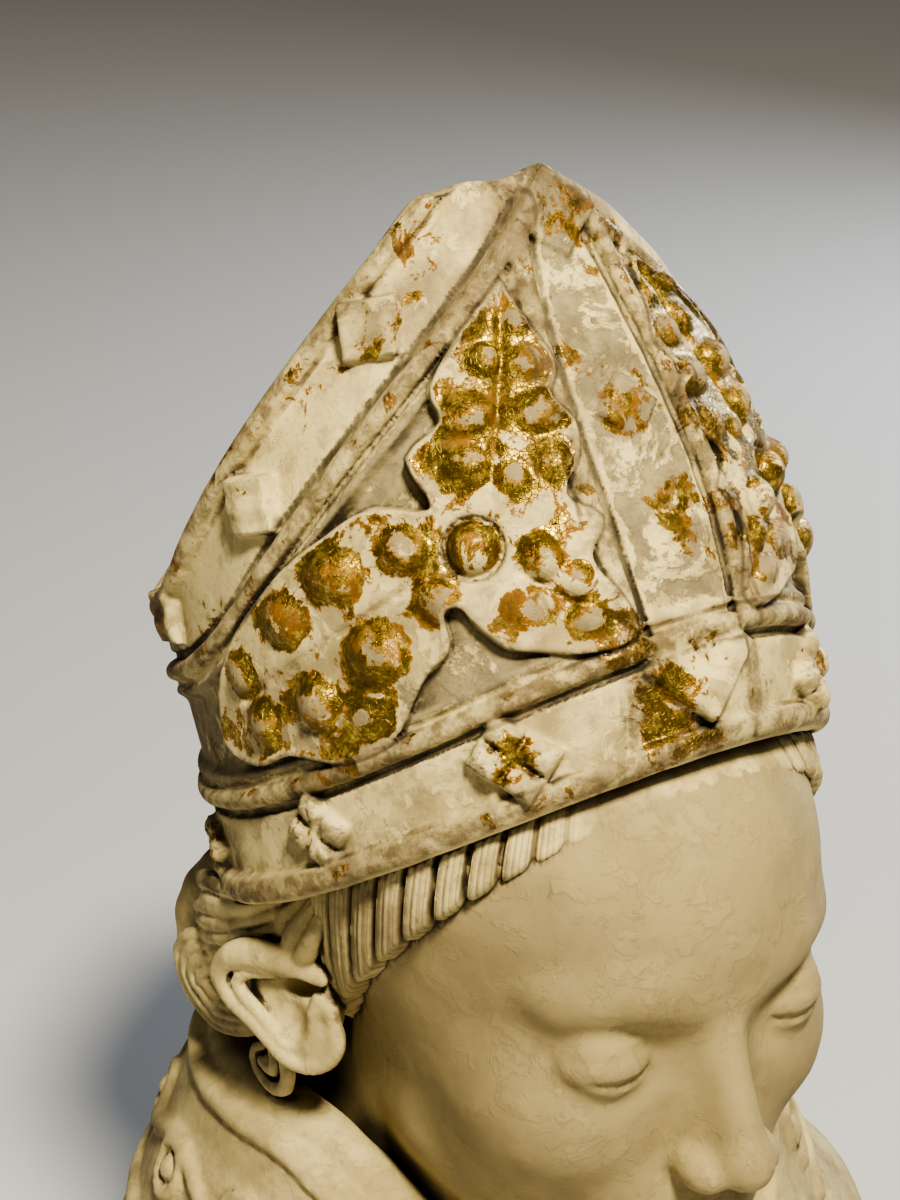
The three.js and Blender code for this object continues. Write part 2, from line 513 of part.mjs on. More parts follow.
// Collar: a flaring band with a vine on it, a soft roll of cloth inside, and a hollow round the neck
const VINE_WAVES = 8;
const VINE_RADIUS = 100;
const collar = (d, [x, y, z]) => {
  const py = y - NECK_AXIS_Y;
  const frontness = 1 - ease(degrees(atan2(abs(x), -y)), 0, 80);
  const rim = RIM_HEIGHT - RIM_DROP * frontness;
  const s = clamp((z - 100) / 76, -0.5, 1.2);
  const a = 118 - 32 * s, b = 104 - 26 * s;
  const out = oval(x, py, a, b);
  let e = join(d, max(meet(out * 0.92, z - rim, 4), COLLAR_FOOT - COLLAR_DIP * frontness - z), 5);
  e = cut(e, max(oval(x, py, a - 15, b - 15), rim - 48 - z), 4);
  e = join(e, span(oval(x, py, 76, 68), (z - rim + 7) * 0.6) - 9, 2);
  e = join(e, span(out, z - rim + 4) - 3.2, 1.5);
  if (y < -62) return e;
  e = join(e, span(out, z - rim + 56) - 3, 2);
  const turn = degrees(atan2(x, y)), half = 180 / VINE_WAVES;
  const middle = rim - 30;
  const vine = span(out - 0.5, (z - middle - 7 * sin(radians(turn) * VINE_WAVES)) * 0.8) - 2.6;
  const cell = floor(turn / half);
  const side = (turn - (cell + 0.5) * half) * VINE_RADIUS * PI / 180;
  const up = z - middle + (cell % 2 === 0 ? 1.5 : -1.5);
  const curl = span(out - 1, span(side, up) - 7.5) - 2.4;
  const bud = span(out, side, up) - 4.2;
  return join(e, min(join(vine, curl, 1.5), bud), 1.5);
};

// Round clasp on the chest
const CLASP = [0, -101, 58];
const CLASP_RADIUS = 22;
const clasp = (d, p) => {
  const around = span(p[0] - CLASP[0], p[2] - CLASP[2]), off = p[1] - CLASP[1];
  let e = join(d, meet(around - CLASP_RADIUS, abs(off) - 5, 2), 2);
  e = join(e, span(around - CLASP_RADIUS + 3, off + 5) - 3, 1);
  for (let i = 0; i < 8; i++) {
    const turn = i * PI / 4;
    e = join(e, ball(p, [CLASP[0] + 11 * sin(turn), CLASP[1] - 5, CLASP[2] + 11 * cos(turn)], 4.3), 1);
  }
  return join(e, ball(p, [CLASP[0], CLASP[1] - 6, CLASP[2]], 5), 1);
};

// Two lappets of the mitre hang down the back: points [y, z] of their middle line
const LAPPET_PATH = [[66, 232], [84, 200], [95, 172], [105, 110], [108, 40]];
const LAPPET_X = 30;
const LAPPET_HALF = 14;
const lappets = (d, [x, y, z]) => {
  if (y < 20 || z > 250) return d;
  let depth = -Infinity;
  for (let i = 1; i < LAPPET_PATH.length; i++) {
    const [y0, z0] = LAPPET_PATH[i - 1], [y1, z1] = LAPPET_PATH[i];
    const t = clamp((z - z0) / (z1 - z0), 0, 1);
    if (t > 0 || i === 1) depth = (y - y0 - (y1 - y0) * t) * 0.92 - 4;
  }
  const [top, foot] = [LAPPET_PATH[0][1], LAPPET_PATH.at(-1)[1]];
  const pad = max(abs(depth + 18) - 18, z - top, foot - z);
  return join(d, meet(pad, abs(abs(x) - LAPPET_X) - LAPPET_HALF, 2), 1.5);
};

const bust = (p) => {
  const z = p[2];
  const mirrored = [abs(p[0]), p[1], z];
  let d = rod(p, ...NECK);
  if (z < 225) {
    const cloth = shoulders(p, mirrored);
    d = join(d, clasp(collar(hood(bands(cloth, cloth, p), cloth, p), p), p), 8);
  }
  d = lappets(d, p);
  if (z > 95) {
    const headPoint = toHead(mirrored);
    d = join(d, face(headPoint), 8);
    d = join(join(d, ear(p), 1.5), templeHair(headPoint), 1);
    if (z > 140 && z < 275) d = join(d, nape(p, mirrored), 1.5);
  }
  if (z > 180) d = join(d, mitre(p), 1);
  return max(d, STONE_LOW[2] + 3 - z);
};

// Grid of distances. Only the blocks near the surface are worked out at every grid point.
const BLOCK = 4;
const eachCell = (size, visit) => {
  for (let k = 0; k < size[2]; k++) {
    for (let j = 0; j < size[1]; j++) {
      for (let i = 0; i < size[0]; i++) visit(i, j, k);
    }
  }
};
const sampleGrid = (field, low, high, step) => {
  const blocks = low.map((v, i) => ceil((high[i] - v) / (step * BLOCK)));
  const size = blocks.map((n) => n * BLOCK + 1);
  const values = new Float32Array(size[0] * size[1] * size[2]).fill(NaN);
  const at = (i, j, k) => (k * size[1] + j) * size[0] + i;
  const nudge = step * 0.06;
  const value = (i, j, k) => {
    const d = field([low[0] + i * step, low[1] + j * step, low[2] + k * step]);
    return abs(d) < nudge ? (d < 0 ? -nudge : nudge) : d;
  };
  const reach = step * BLOCK * sqrt(3) / 2 * 1.7;
  const fill = (b, far) => {
    eachCell([BLOCK + 1, BLOCK + 1, BLOCK + 1], (i, j, k) => {
      const g = [b[0] * BLOCK + i, b[1] * BLOCK + j, b[2] * BLOCK + k];
      const n = at(...g);
      if (Number.isNaN(values[n])) values[n] = far ?? value(...g);
    });
  };
  const distant = [];
  eachCell(blocks, (...b) => {
    const d = field(b.map((n, i) => low[i] + (n + 0.5) * BLOCK * step));
    if (abs(d) < reach) fill(b, null);
    else distant.push([b, d]);
  });
  for (const [b, d] of distant) fill(b, d);
  return { size, values, at };
};

// Marching tetrahedra: six to a cube, all sharing its long diagonal
const CORNER_ORDERS = [[0, 1, 2], [0, 2, 1], [1, 0, 2], [1, 2, 0], [2, 0, 1], [2, 1, 0]];
const surface = ({ size, values, at }, low, step) => {
  const positions = [], triangles = [];
  const known = new Map();
  const nodes = values.length;
  const corner = (n) => {
    const i = n % size[0], j = floor(n / size[0]) % size[1], k = floor(n / (size[0] * size[1]));
    return [low[0] + i * step, low[1] + j * step, low[2] + k * step];
  };
  const crossing = (a, b) => {
    const key = min(a, b) * nodes + max(a, b);
    if (!known.has(key)) {
      const pa = corner(a), pb = corner(b), t = values[a] / (values[a] - values[b]);
      known.set(key, positions.length / 3);
      positions.push(...pa.map((v, i) => v + (pb[i] - v) * t));
    }
    return known.get(key);
  };
  const facing = (tri, inside, outside) => {
    const [a, b, c] = tri.map((n) => new THREE.Vector3(...positions.slice(3 * n, 3 * n + 3)));
    const normal = b.sub(a).cross(c.sub(a));
    const outwards = new THREE.Vector3(...corner(outside)).sub(new THREE.Vector3(...corner(inside)));
    triangles.push(...(normal.dot(outwards) > 0 ? tri : [tri[0], tri[2], tri[1]]));
  };
  eachCell(size.map((n) => n - 1), (i, j, k) => {
    let inside = 0;
    for (let c = 0; c < 8; c++) if (values[at(i + (c & 1), j + (c >> 1 & 1), k + (c >> 2))] < 0) inside++;
    if (inside === 0 || inside === 8) return;
    for (const order of CORNER_ORDERS) {
      const g = [i, j, k];
      const tet = [at(...g)];
      for (const axis of order) {
        g[axis]++;
        tet.push(at(...g));
      }
      const ins = tet.filter((n) => values[n] < 0), outs = tet.filter((n) => values[n] >= 0);
      if (ins.length === 1) facing(outs.map((n) => crossing(ins[0], n)), ins[0], outs[0]);
      if (ins.length === 3) facing(ins.map((n) => crossing(n, outs[0])), ins[0], outs[0]);
      if (ins.length === 2) {
        const q = [[0, 0], [0, 1], [1, 1], [1, 0]].map(([s, t]) => crossing(ins[s], outs[t]));
        const from = ins[0], to = outs[0];
        facing([q[0], q[1], q[2]], from, to);
        facing([q[0], q[2], q[3]], from, to);
      }
    }
  });
  return { positions, triangles };
};

// The outer surface alone, without any small bubble left between two forms
const outerSurface = ({ positions, triangles }) => {
  const next = Int32Array.from({ length: positions.length / 3 }, (_, n) => n);
  const rootOf = (n) => {
    while (next[n] !== n) n = next[n] = next[next[n]];
    return n;
  };
  for (let t = 0; t < triangles.length; t += 3) {
    next[rootOf(triangles[t + 1])] = rootOf(triangles[t]);
    next[rootOf(triangles[t + 2])] = rootOf(triangles[t]);
  }
  const counts = new Map();
  for (const n of triangles) counts.set(rootOf(n), (counts.get(rootOf(n)) ?? 0) + 1);
  const [largest] = [...counts].reduce((a, b) => (b[1] > a[1] ? b : a));
  return { positions, triangles: triangles.filter((n) => rootOf(n) === largest) };
};

// A heap of edges to close up, cheapest first
class Queue {
  items = [];
  push(item) {
    let n = this.items.push(item) - 1;
    while (n > 0) {
      const parent = (n - 1) >> 1;
      if (this.items[parent].cost <= item.cost) break;
      this.items[n] = this.items[parent];
      n = parent;
    }
    this.items[n] = item;
  }
  pop() {
    const first = this.items[0], item = this.items.pop(), length = this.items.length;
    if (length === 0) return first;
    let n = 0;
    for (;;) {
      let child = 2 * n + 1;
      if (child >= length) break;
      if (child + 1 < length && this.items[child + 1].cost < this.items[child].cost) child++;
      if (this.items[child].cost >= item.cost) break;
      this.items[n] = this.items[child];
      n = child;
    }
    this.items[n] = item;
    return first;
  }
}

// Thinning: the edge whose loss changes the surface least is closed up, again and again. Each corner
// carries the sum of the squared distances to the planes it stands for, as ten numbers.
const thin = ({ positions, triangles }, goal) => {
  const count = positions.length / 3;
  const placeOf = (n) => new THREE.Vector3(...positions.slice(3 * n, 3 * n + 3));
  const places = Array.from({ length: count }, (_, n) => placeOf(n));
  const faces = Array.from({ length: triangles.length / 3 }, (_, n) => triangles.slice(3 * n, 3 * n + 3));
  const around = places.map(() => []);
  faces.forEach((face) => face.forEach((n) => around[n].push(face)));
  const versions = new Int32Array(count);
  const sums = places.map(() => new Float64Array(10));
  const edge1 = new THREE.Vector3(), edge2 = new THREE.Vector3();
  const normalOf = (a, b, c) =>
    new THREE.Vector3().crossVectors(edge1.subVectors(b, a), edge2.subVectors(c, a));
  for (const face of faces) {
    const [a, b, c] = face.map((n) => places[n]);
    const normal = normalOf(a, b, c), area = normal.length() / 2;
    if (area === 0) continue;
    normal.normalize();
    const plane = [normal.x, normal.y, normal.z, -normal.dot(a)];
    for (const n of face) {
      let k = 0;
      for (let i = 0; i < 4; i++) for (let j = i; j < 4; j++) sums[n][k++] += area * plane[i] * plane[j];
    }
  }
  const plan = (a, b) => {
    const q = sums[a].map((v, i) => v + sums[b][i]);
    const middle = places[a].clone().add(places[b]).multiplyScalar(0.5);
    const hold = 2e-3 * (q[0] + q[4] + q[7]) + 1e-9;
    const matrix = new THREE.Matrix3(q[0] + hold, q[1], q[2], q[1], q[4] + hold, q[5], q[2], q[5], q[7] + hold);
    const place = new THREE.Vector3(hold * middle.x - q[3], hold * middle.y - q[6], hold * middle.z - q[8])
      .applyMatrix3(matrix.invert());
    const v = [place.x, place.y, place.z, 1];
    let cost = 1e-4 * places[a].distanceToSquared(places[b]), k = 0;
    for (let i = 0; i < 4; i++) for (let j = i; j < 4; j++) cost += q[k++] * v[i] * v[j] * (i === j ? 1 : 2);
    return { cost, a, b, place, version: versions[a] + versions[b] };
  };
  const neighbours = (n) => new Set(around[n].flat().filter((m) => m !== n));
  const queue = new Queue();
  for (let a = 0; a < count; a++) for (const b of neighbours(a)) if (a < b) queue.push(plan(a, b));
  const turnsOver = (n, other, place) => around[n].some((face) => {
    if (face.includes(other)) return false;
    const before = normalOf(...face.map((m) => places[m]));
    const after = normalOf(...face.map((m) => (m === n ? place : places[m])));
    return before.dot(after) < 0.25 * before.length() * after.length();
  });
  let left = faces.length;
  while (left > goal && queue.items.length > 0) {
    const { a, b, place, version } = queue.pop();
    if (around[a].length === 0 || around[b].length === 0 || version !== versions[a] + versions[b]) continue;
    const near = neighbours(a);
    const shared = [...neighbours(b)].filter((n) => near.has(n));
    if (shared.length !== 2 || turnsOver(a, b, place) || turnsOver(b, a, place)) continue;
    const closed = around[b].filter((face) => face.includes(a));
    for (const face of closed) for (const n of face) around[n] = around[n].filter((one) => one !== face);
    for (const face of around[b]) face[face.indexOf(b)] = a;
    around[a].push(...around[b]);
    around[b] = [];
    places[a] = place;
    sums[a] = sums[a].map((v, i) => v + sums[b][i]);
    left -= closed.length;
    versions[a]++;
    for (const n of neighbours(a)) queue.push(plan(a, n));
  }
  const kept = [...new Set(around.flat())];
  const numbers = new Map();
  for (const n of kept.flat()) if (!numbers.has(n)) numbers.set(n, numbers.size);
  const geometry = new THREE.BufferGeometry();
  const flat = [...numbers.keys()].flatMap((n) => places[n].toArray());
  geometry.setAttribute("position", new THREE.Float32BufferAttribute(flat, 3));
  geometry.setIndex(kept.flat().map((n) => numbers.get(n)));
  return geometry;
};

const wasm = await Module();
wasm.setup();
const solid = (geometry) => {
  const bare = geometry.clone();
  bare.deleteAttribute("normal");
  bare.deleteAttribute("uv");
  const merged = mergeVertices(bare, 1e-4);
  return new wasm.Manifold(new wasm.Mesh({
    numProp: 3, vertProperties: merged.attributes.position.array, triVerts: new Uint32Array(merged.index.array),
  }));
};

// The carving, sawn off flat at the underside
const sawnBust = () => {
  const grid = sampleGrid(bust, STONE_LOW, STONE_HIGH, GRID_STEP);
  const carved = thin(outerSurface(surface(grid, STONE_LOW, GRID_STEP)), TRIANGLES);
  const below = new THREE.BoxGeometry(SAW_BOX, SAW_BOX, SAW_BOX).translate(0, 0, -SAW_BOX / 2);
  const mesh = solid(carved).subtract(solid(below)).getMesh();
  const geometry = new THREE.BufferGeometry();
  geometry.setAttribute("position", new THREE.BufferAttribute(mesh.vertProperties, 3));
  geometry.setIndex(new THREE.BufferAttribute(mesh.triVerts, 1));
  geometry.computeVertexNormals();
  return geometry;
};

const limestone = new THREE.MeshStandardMaterial({ color: 0xcbb488, roughness: 0.9, metalness: 0 });
const stone = new THREE.Mesh(sawnBust(), limestone);
stone.name = "limestone_bust";

const bustGroup = new THREE.Group();
bustGroup.add(stone);
export default bustGroup;
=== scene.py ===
# Limestone bust of a bishop in a mitre: the finely carved surface, its limewash, dirt and worn gilding,
# with shade and glints painted into its colour, and a floor, soft studio light and a camera. The carving is
# described by signed distances in millimetres (negative inside the stone), in the frame of the imported
# model. The one stone is shown as five closed meshes.
from concurrent.futures import ThreadPoolExecutor
from math import cos, pi, radians, sin, sqrt

import bmesh
import bpy
import numpy as np
from mathutils import Matrix, Vector


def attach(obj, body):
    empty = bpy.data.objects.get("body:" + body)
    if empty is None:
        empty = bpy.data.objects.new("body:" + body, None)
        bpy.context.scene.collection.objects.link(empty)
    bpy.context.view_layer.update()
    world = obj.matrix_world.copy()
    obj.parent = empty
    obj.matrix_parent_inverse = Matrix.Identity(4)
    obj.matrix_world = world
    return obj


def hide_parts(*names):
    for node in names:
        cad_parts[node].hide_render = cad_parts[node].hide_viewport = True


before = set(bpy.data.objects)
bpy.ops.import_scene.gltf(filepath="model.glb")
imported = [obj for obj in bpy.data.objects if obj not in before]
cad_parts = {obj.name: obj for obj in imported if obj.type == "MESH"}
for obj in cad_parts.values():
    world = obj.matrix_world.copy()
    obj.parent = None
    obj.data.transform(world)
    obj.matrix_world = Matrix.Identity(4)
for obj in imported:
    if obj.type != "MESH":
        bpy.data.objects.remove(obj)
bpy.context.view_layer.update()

# Sampling of the carving. A block is a cube of grid points; its corners are 0.87 of its side from its
# middle, and the margin allows for distances that change too fast. SLACK is the same in millimetres,
# FAR is the distance given where a form is missing.
BLOCK = 8
BLOCK_REACH = 0.87
BLOCK_MARGIN = 1.7
CELL = 36
SLACK = 10
FAR = 60.0
THREADS = 4
TRIANGLES = 195000
SAWN_OFF = -3
MM = 0.001

# Heights between which the parts of the stone lie
FACE_LOWEST = 110
HAIR_LOWEST = 180
LOCKS_LOWEST = 160
LOCKS_HIGHEST = 265
DRESS_HIGHEST = 245
MITRE_LOWEST = 200

# The mitre stands on the head and leans back. Its own axes: x to the figure's left, f forwards, h upwards.
MITRE_AT = (0, -15, 270)
MITRE_LEAN = radians(27.3)
SECTION_HEIGHTS = (0, 28, 75, 145)
SECTION_HALF_WIDTHS = (84.5, 84, 83, 60)
SECTION_HALF_DEPTHS = (102, 110, 108, 94)
SECTION_LIMITS = (-25, 175)
BACK_DEPTH_SHARE = 0.84
PLATE_THICKNESS = 16
CLEFT_SIDE = 58
CLEFT_RISE = 14
CIRCLET_HEIGHT = 28.7
LOW_DIP = 13.4
HIGH_DIP = 16.7
TITULUS_LOW_HALF = 17.7
TITULUS_HIGH_HALF = 11.2
TITULUS_SWELL = 4.5
INNER_GABLE = (9, 142.5, 1.17, 50)
OUTER_GABLE = (31, 160.5, 1.28, 73)
BACK_GABLE = (0, 112, 0.75, 73)
GABLE_BLEND = 16
BROKEN_TOP = 156.5
BROKEN_SLOPE = 0.6
FIELD_SUNK = 2.4
LEAF_LIFT = 2.8
ARC_PER_DEGREE = 1.62
DETAIL_REACH = 14

# The head bows a little. Its own axes start midway between the ears: x left, y back, z up.
HEAD_AT = (0, -31, 226)
HEAD_BOW = radians(5.5)
HEAD_SIZE = 0.955

# The dress: a collar round the neck, with a rim that falls to a point in front
RIM_HEIGHT = 176
RIM_DROP = 74
COLLAR_FOOT = 92
COLLAR_DIP = 24
NECK_AXIS_Y = 2
NECK_FOOT = 45


# Distance fields
def span(*parts):
    return np.sqrt(sum(part * part for part in parts))


def clamp(v, low, high):
    return np.minimum(np.maximum(v, low), high)


def ease(v, start, end):
    t = clamp((v - start) / (end - start), 0, 1)
    return t * t * (3 - 2 * t)


def bump(v, width):
    """1 at 0, falling smoothly on both sides."""
    return np.exp(-(v / width) ** 2)


def join(a, b, k):
    h = np.maximum(k - np.abs(a - b), 0)
    return np.minimum(a, b) - h * h / (4 * k)


def meet(a, b, k):
    return -join(-a, -b, k)


def cut(a, b, k):
    return -join(-a, b, k)


def turn_of(x, y):
    """Angle in degrees from the y direction towards x."""
    return np.degrees(np.arctan2(x, y))


def far_where(missing):
    """Far away at the points where a form is missing, and 0 at the others."""
    return np.where(missing, FAR, 0.0)


def folded(p):
    """The points with the figure's right half laid over its left half."""
    return np.abs(p[0]), p[1], p[2]


def ball(p, centre, r):
    return span(p[0] - centre[0], p[1] - centre[1], p[2] - centre[2]) - r


def ellipsoid(p, centre, r):
    x, y, z = ((p[i] - centre[i]) / r[i] for i in range(3))
    k = span(x, y, z)
    return k * (k - 1) / np.maximum(span(x / r[0], y / r[1], z / r[2]), 1e-6)


def rod(p, a, b, ra, rb=None):
    ra, rb = float(ra), float(ra if rb is None else rb)
    d = [b[i] - a[i] for i in range(3)]
    q = [p[i] - a[i] for i in range(3)]
    t = clamp((q[0] * d[0] + q[1] * d[1] + q[2] * d[2]) / (d[0] ** 2 + d[1] ** 2 + d[2] ** 2), 0, 1)
    return span(*(q[i] - t * d[i] for i in range(3))) - (ra + (rb - ra) * t)


def chain(p, points, k=0.0):
    """Rods through points (x, y, z, radius)."""
    d = None
    for a, b in zip(points, points[1:]):
        one = rod(p, a[:3], b[:3], a[3], b[3])
        d = one if d is None else (join(d, one, k) if k else np.minimum(d, one))
    return d


def oval(x, y, a, b):
    return span(x, y) * (1 - 1 / np.maximum(span(x / a, y / b), 1e-4))


def curve(points, steps):
    """A smooth run of points through the given ones (Catmull-Rom)."""
    points = np.asarray(points, float)
    padded = np.vstack([2 * points[0] - points[1], points, 2 * points[-1] - points[-2]])
    out = []
    for i in range(len(points) - 1):
        a, b, c, d = padded[i:i + 4]
        for t in np.arange(steps) / steps:
            out.append(b + 0.5 * t * (c - a + t * (2 * a - 5 * b + 4 * c - d + t * (3 * (b - c) + d - a))))
    return np.vstack([out, points[-1]])


class Reach:
    """The ball round a group of points, to leave out what is far from all of them."""

    def __init__(self, p):
        low = np.array([part.min() for part in p])
        high = np.array([part.max() for part in p])
        self.centre = (low + high) / 2
        self.radius = float(np.linalg.norm(high - low)) / 2

    def near(self, centre, radius):
        return np.linalg.norm(self.centre - np.asarray(centre[:3])) < self.radius + radius + SLACK

    def near_either(self, centre, radius):
        """Near a place on the figure's left side or the same place on its right."""
        x, y, z = centre
        return self.near(centre, radius) or self.near((-x, y, z), radius)


ONE_WAVE = 6.28


def wobble(p, size, seed):
    """Smooth unevenness between about -1 and 1, with lumps of the given size."""
    x, y, z = (part * (ONE_WAVE / size) for part in p)
    a = np.sin(x + 1.7 * np.sin(0.61 * y + seed)) + np.sin(y + 1.9 * np.sin(0.57 * z + 2 * seed))
    return (a + np.sin(z + 1.6 * np.sin(0.63 * x + 3 * seed))) / 3


def to_mitre(p):
    dy, dz = p[1] - MITRE_AT[1], p[2] - MITRE_AT[2]
    lean_sin, lean_cos = sin(MITRE_LEAN), cos(MITRE_LEAN)
    return p[0], -dy * lean_cos + dz * lean_sin, dy * lean_sin + dz * lean_cos


def to_head(p):
    dy, dz = p[1] - HEAD_AT[1], p[2] - HEAD_AT[2]
    bow_sin, bow_cos = sin(HEAD_BOW), cos(HEAD_BOW)
    return p[0], dy * bow_cos + dz * bow_sin, -dy * bow_sin + dz * bow_cos


# Mitre
def section(h, sizes):
    """A smooth curve through the sizes of the four sections."""
    z = clamp(h, *SECTION_LIMITS)
    size = 0
    for i, start in enumerate(SECTION_HEIGHTS):
        weight = sizes[i]
        for j, other in enumerate(SECTION_HEIGHTS):
            if j != i:
                weight = weight * (z - other) / (start - other)
        size = size + weight
    return size


def half_width(h):
    return section(h, SECTION_HALF_WIDTHS)


def half_depth(h, f):
    return section(h, SECTION_HALF_DEPTHS) * np.where(f < 0, BACK_DEPTH_SHARE, 1)


def raking(turn, line):
    """Height and slope of a raking line on the unrolled mitre, straight at first and level at the side."""
    at, height, rake, floor = line
    straight = height - rake * (turn - at)
    share = clamp(0.5 + (straight - floor) / (2 * GABLE_BLEND), 0, 1)
    return -join(-straight, -floor, GABLE_BLEND), rake * share


def broken_top(x, f):
    """Height of the broken rim at the top of the front horn, lower towards the figure's left."""
    waves = 1.1 * np.sin(x * 0.13 + f * 0.06 + 0.6) + 0.6 * np.sin(x * 0.29 + 0.2 * f + 2)
    fall = BROKEN_SLOPE * np.maximum(x - 3, 0) + 0.0022 * np.maximum(-x - 8, 0) ** 2
    return BROKEN_TOP - fall + waves


def on_mitre(turn, h):
    """A point by its turn in degrees from the front and its height."""
    f = cos(radians(turn))
    return np.array([half_width(h) * sin(radians(turn)), half_depth(h, f) * f, h])


class Spot:
    """An upright plane touching the mitre at a point."""

    def __init__(self, turn, h):
        self.centre = on_mitre(turn, h)
        a, b = half_width(h), half_depth(h, self.centre[1])
        normal = np.array([self.centre[0] / a ** 2, self.centre[1] / b ** 2])
        self.normal = normal / np.linalg.norm(normal)

    def local(self, p):
        dx, df = p[0] - self.centre[0], p[1] - self.centre[1]
        nx, nf = self.normal
        return dx * nf - df * nx, p[2] - self.centre[2], dx * nx + df * nf


class MitreFace:
    """The coordinates that the mitre's mouldings share."""

    def __init__(self, p):
        x, f, h = p
        self.x, self.f, self.h = x, f, h
        self.a, self.b = half_width(h), half_depth(h, f)
        self.u, self.v = np.abs(x) / self.a, f / self.b
        q = np.maximum(span(self.u, self.v), 1e-4)
        self.out = span(x, f) * (1 - 1 / q)
        self.turn = turn_of(self.u, self.v)
        per_degree = np.maximum(span(self.a * self.v, self.b * self.u) / q * pi / 180, 0.5)
        wave = ((self.v ** 2 - self.u ** 2) / q ** 2 - 1) / 2
        self.low = LOW_DIP * wave
        self.high = CIRCLET_HEIGHT + HIGH_DIP * wave
        self.broken = broken_top(x, f)
        inner, slope = raking(self.turn, INNER_GABLE)
        self.past_inner = (h - inner) / span(1, slope / per_degree)
        self.outer, slope = raking(self.turn, OUTER_GABLE)
        self.past_outer = (h - self.outer) / span(1, slope / per_degree)
        self.back, slope = raking(180 - self.turn, BACK_GABLE)
        self.past_back = (h - self.back) / span(1, slope / per_degree)
        grow = (h - CIRCLET_HEIGHT) / (INNER_GABLE[1] - CIRCLET_HEIGHT)
        self.half = TITULUS_LOW_HALF + (TITULUS_HIGH_HALF - TITULUS_LOW_HALF) * grow
        self.half = self.half + TITULUS_SWELL * 4 * np.maximum(grow * (1 - grow), 0)
        self.arc = self.turn * ARC_PER_DEGREE
        # how far inside the triangular field, measured from its three mouldings
        self.inside = np.minimum(np.minimum(-self.past_inner, np.abs(x) - self.half), h - self.high)


# Mouldings: radii, distances of their middle lines, and the turns where the raking ones end at the side
ROLL = 2.9
CREASE = 4.3
CREASE_RADIUS = 1.1
FILLET = 6.0
FILLET_RADIUS = 1.5
MOULDING_BLEND = 0.6
CROSSING = 1.5
LOW_ROLL = 4.2
EDGE_ROLL = 3.7
EDGE_INSET = 4
FRONT_TOP_END = 105
FRONT_ROLLS_END = 125
BACK_ROLL_START = 118
SIDE_PER_DEGREE = 1.6


def moulding(d, out, across, limit):
    """A thick roll, with a crease on its outer side and a thin fillet on the side of the field."""
    crease = span(out + 0.1, across - CREASE) - CREASE_RADIUS
    roll = span(out - 0.5, across) - ROLL
    fillet = span(out - 0.1, across + FILLET) - FILLET_RADIUS
    e = join(cut(d, np.maximum(crease, limit), MOULDING_BLEND), np.maximum(roll, limit), MOULDING_BLEND)
    return join(e, np.maximum(fillet, limit), MOULDING_BLEND)


def mitre_body(m):
    side_top = np.maximum(m.back, BACK_GABLE[3] - 1)
    top = join(np.where(m.turn < FRONT_TOP_END, m.outer, side_top), m.broken, 5)
    lining = oval(m.x, m.f, m.a - PLATE_THICKNESS, m.b - PLATE_THICKNESS - 6 - 0.06 * (150 - m.h))
    crown = CLEFT_SIDE + CLEFT_RISE * (1 - m.u ** 2)
    sunk = FIELD_SUNK * ease(m.inside, 7, 10)
    plates = cut(meet(m.out + sunk, m.h - top, 3.5), lining, 5)
    core = meet(m.out + 2, m.h - crown, 6)
    d = np.maximum(join(plates, core, 5), m.low - m.h)
    beside_titulus = m.half - np.abs(m.x)
    past_side = (m.turn - FRONT_ROLLS_END) * SIDE_PER_DEGREE
    d = moulding(d, m.out, m.high - m.h, m.low - m.h)
    ends = np.maximum(m.high - m.h, m.past_inner - CROSSING) + far_where(m.f <= 0)
    d = moulding(d, m.out, beside_titulus, ends)
    d = moulding(d, m.out, m.past_inner, np.maximum(m.half - CROSSING - np.abs(m.x), past_side))
    d = join(d, span(m.out - 0.4, m.h - m.low) - LOW_ROLL, 0.8)
    edge = np.maximum(span(m.out - 0.3, m.past_outer + EDGE_INSET) - EDGE_ROLL, m.h - m.broken + 1.5)
    d = join(d, np.maximum(edge, past_side), 1)
    back = span(m.out - 0.3, m.past_back + EDGE_INSET) - EDGE_ROLL
    return join(d, np.maximum(back, (BACK_ROLL_START - m.turn) * SIDE_PER_DEGREE), 1)


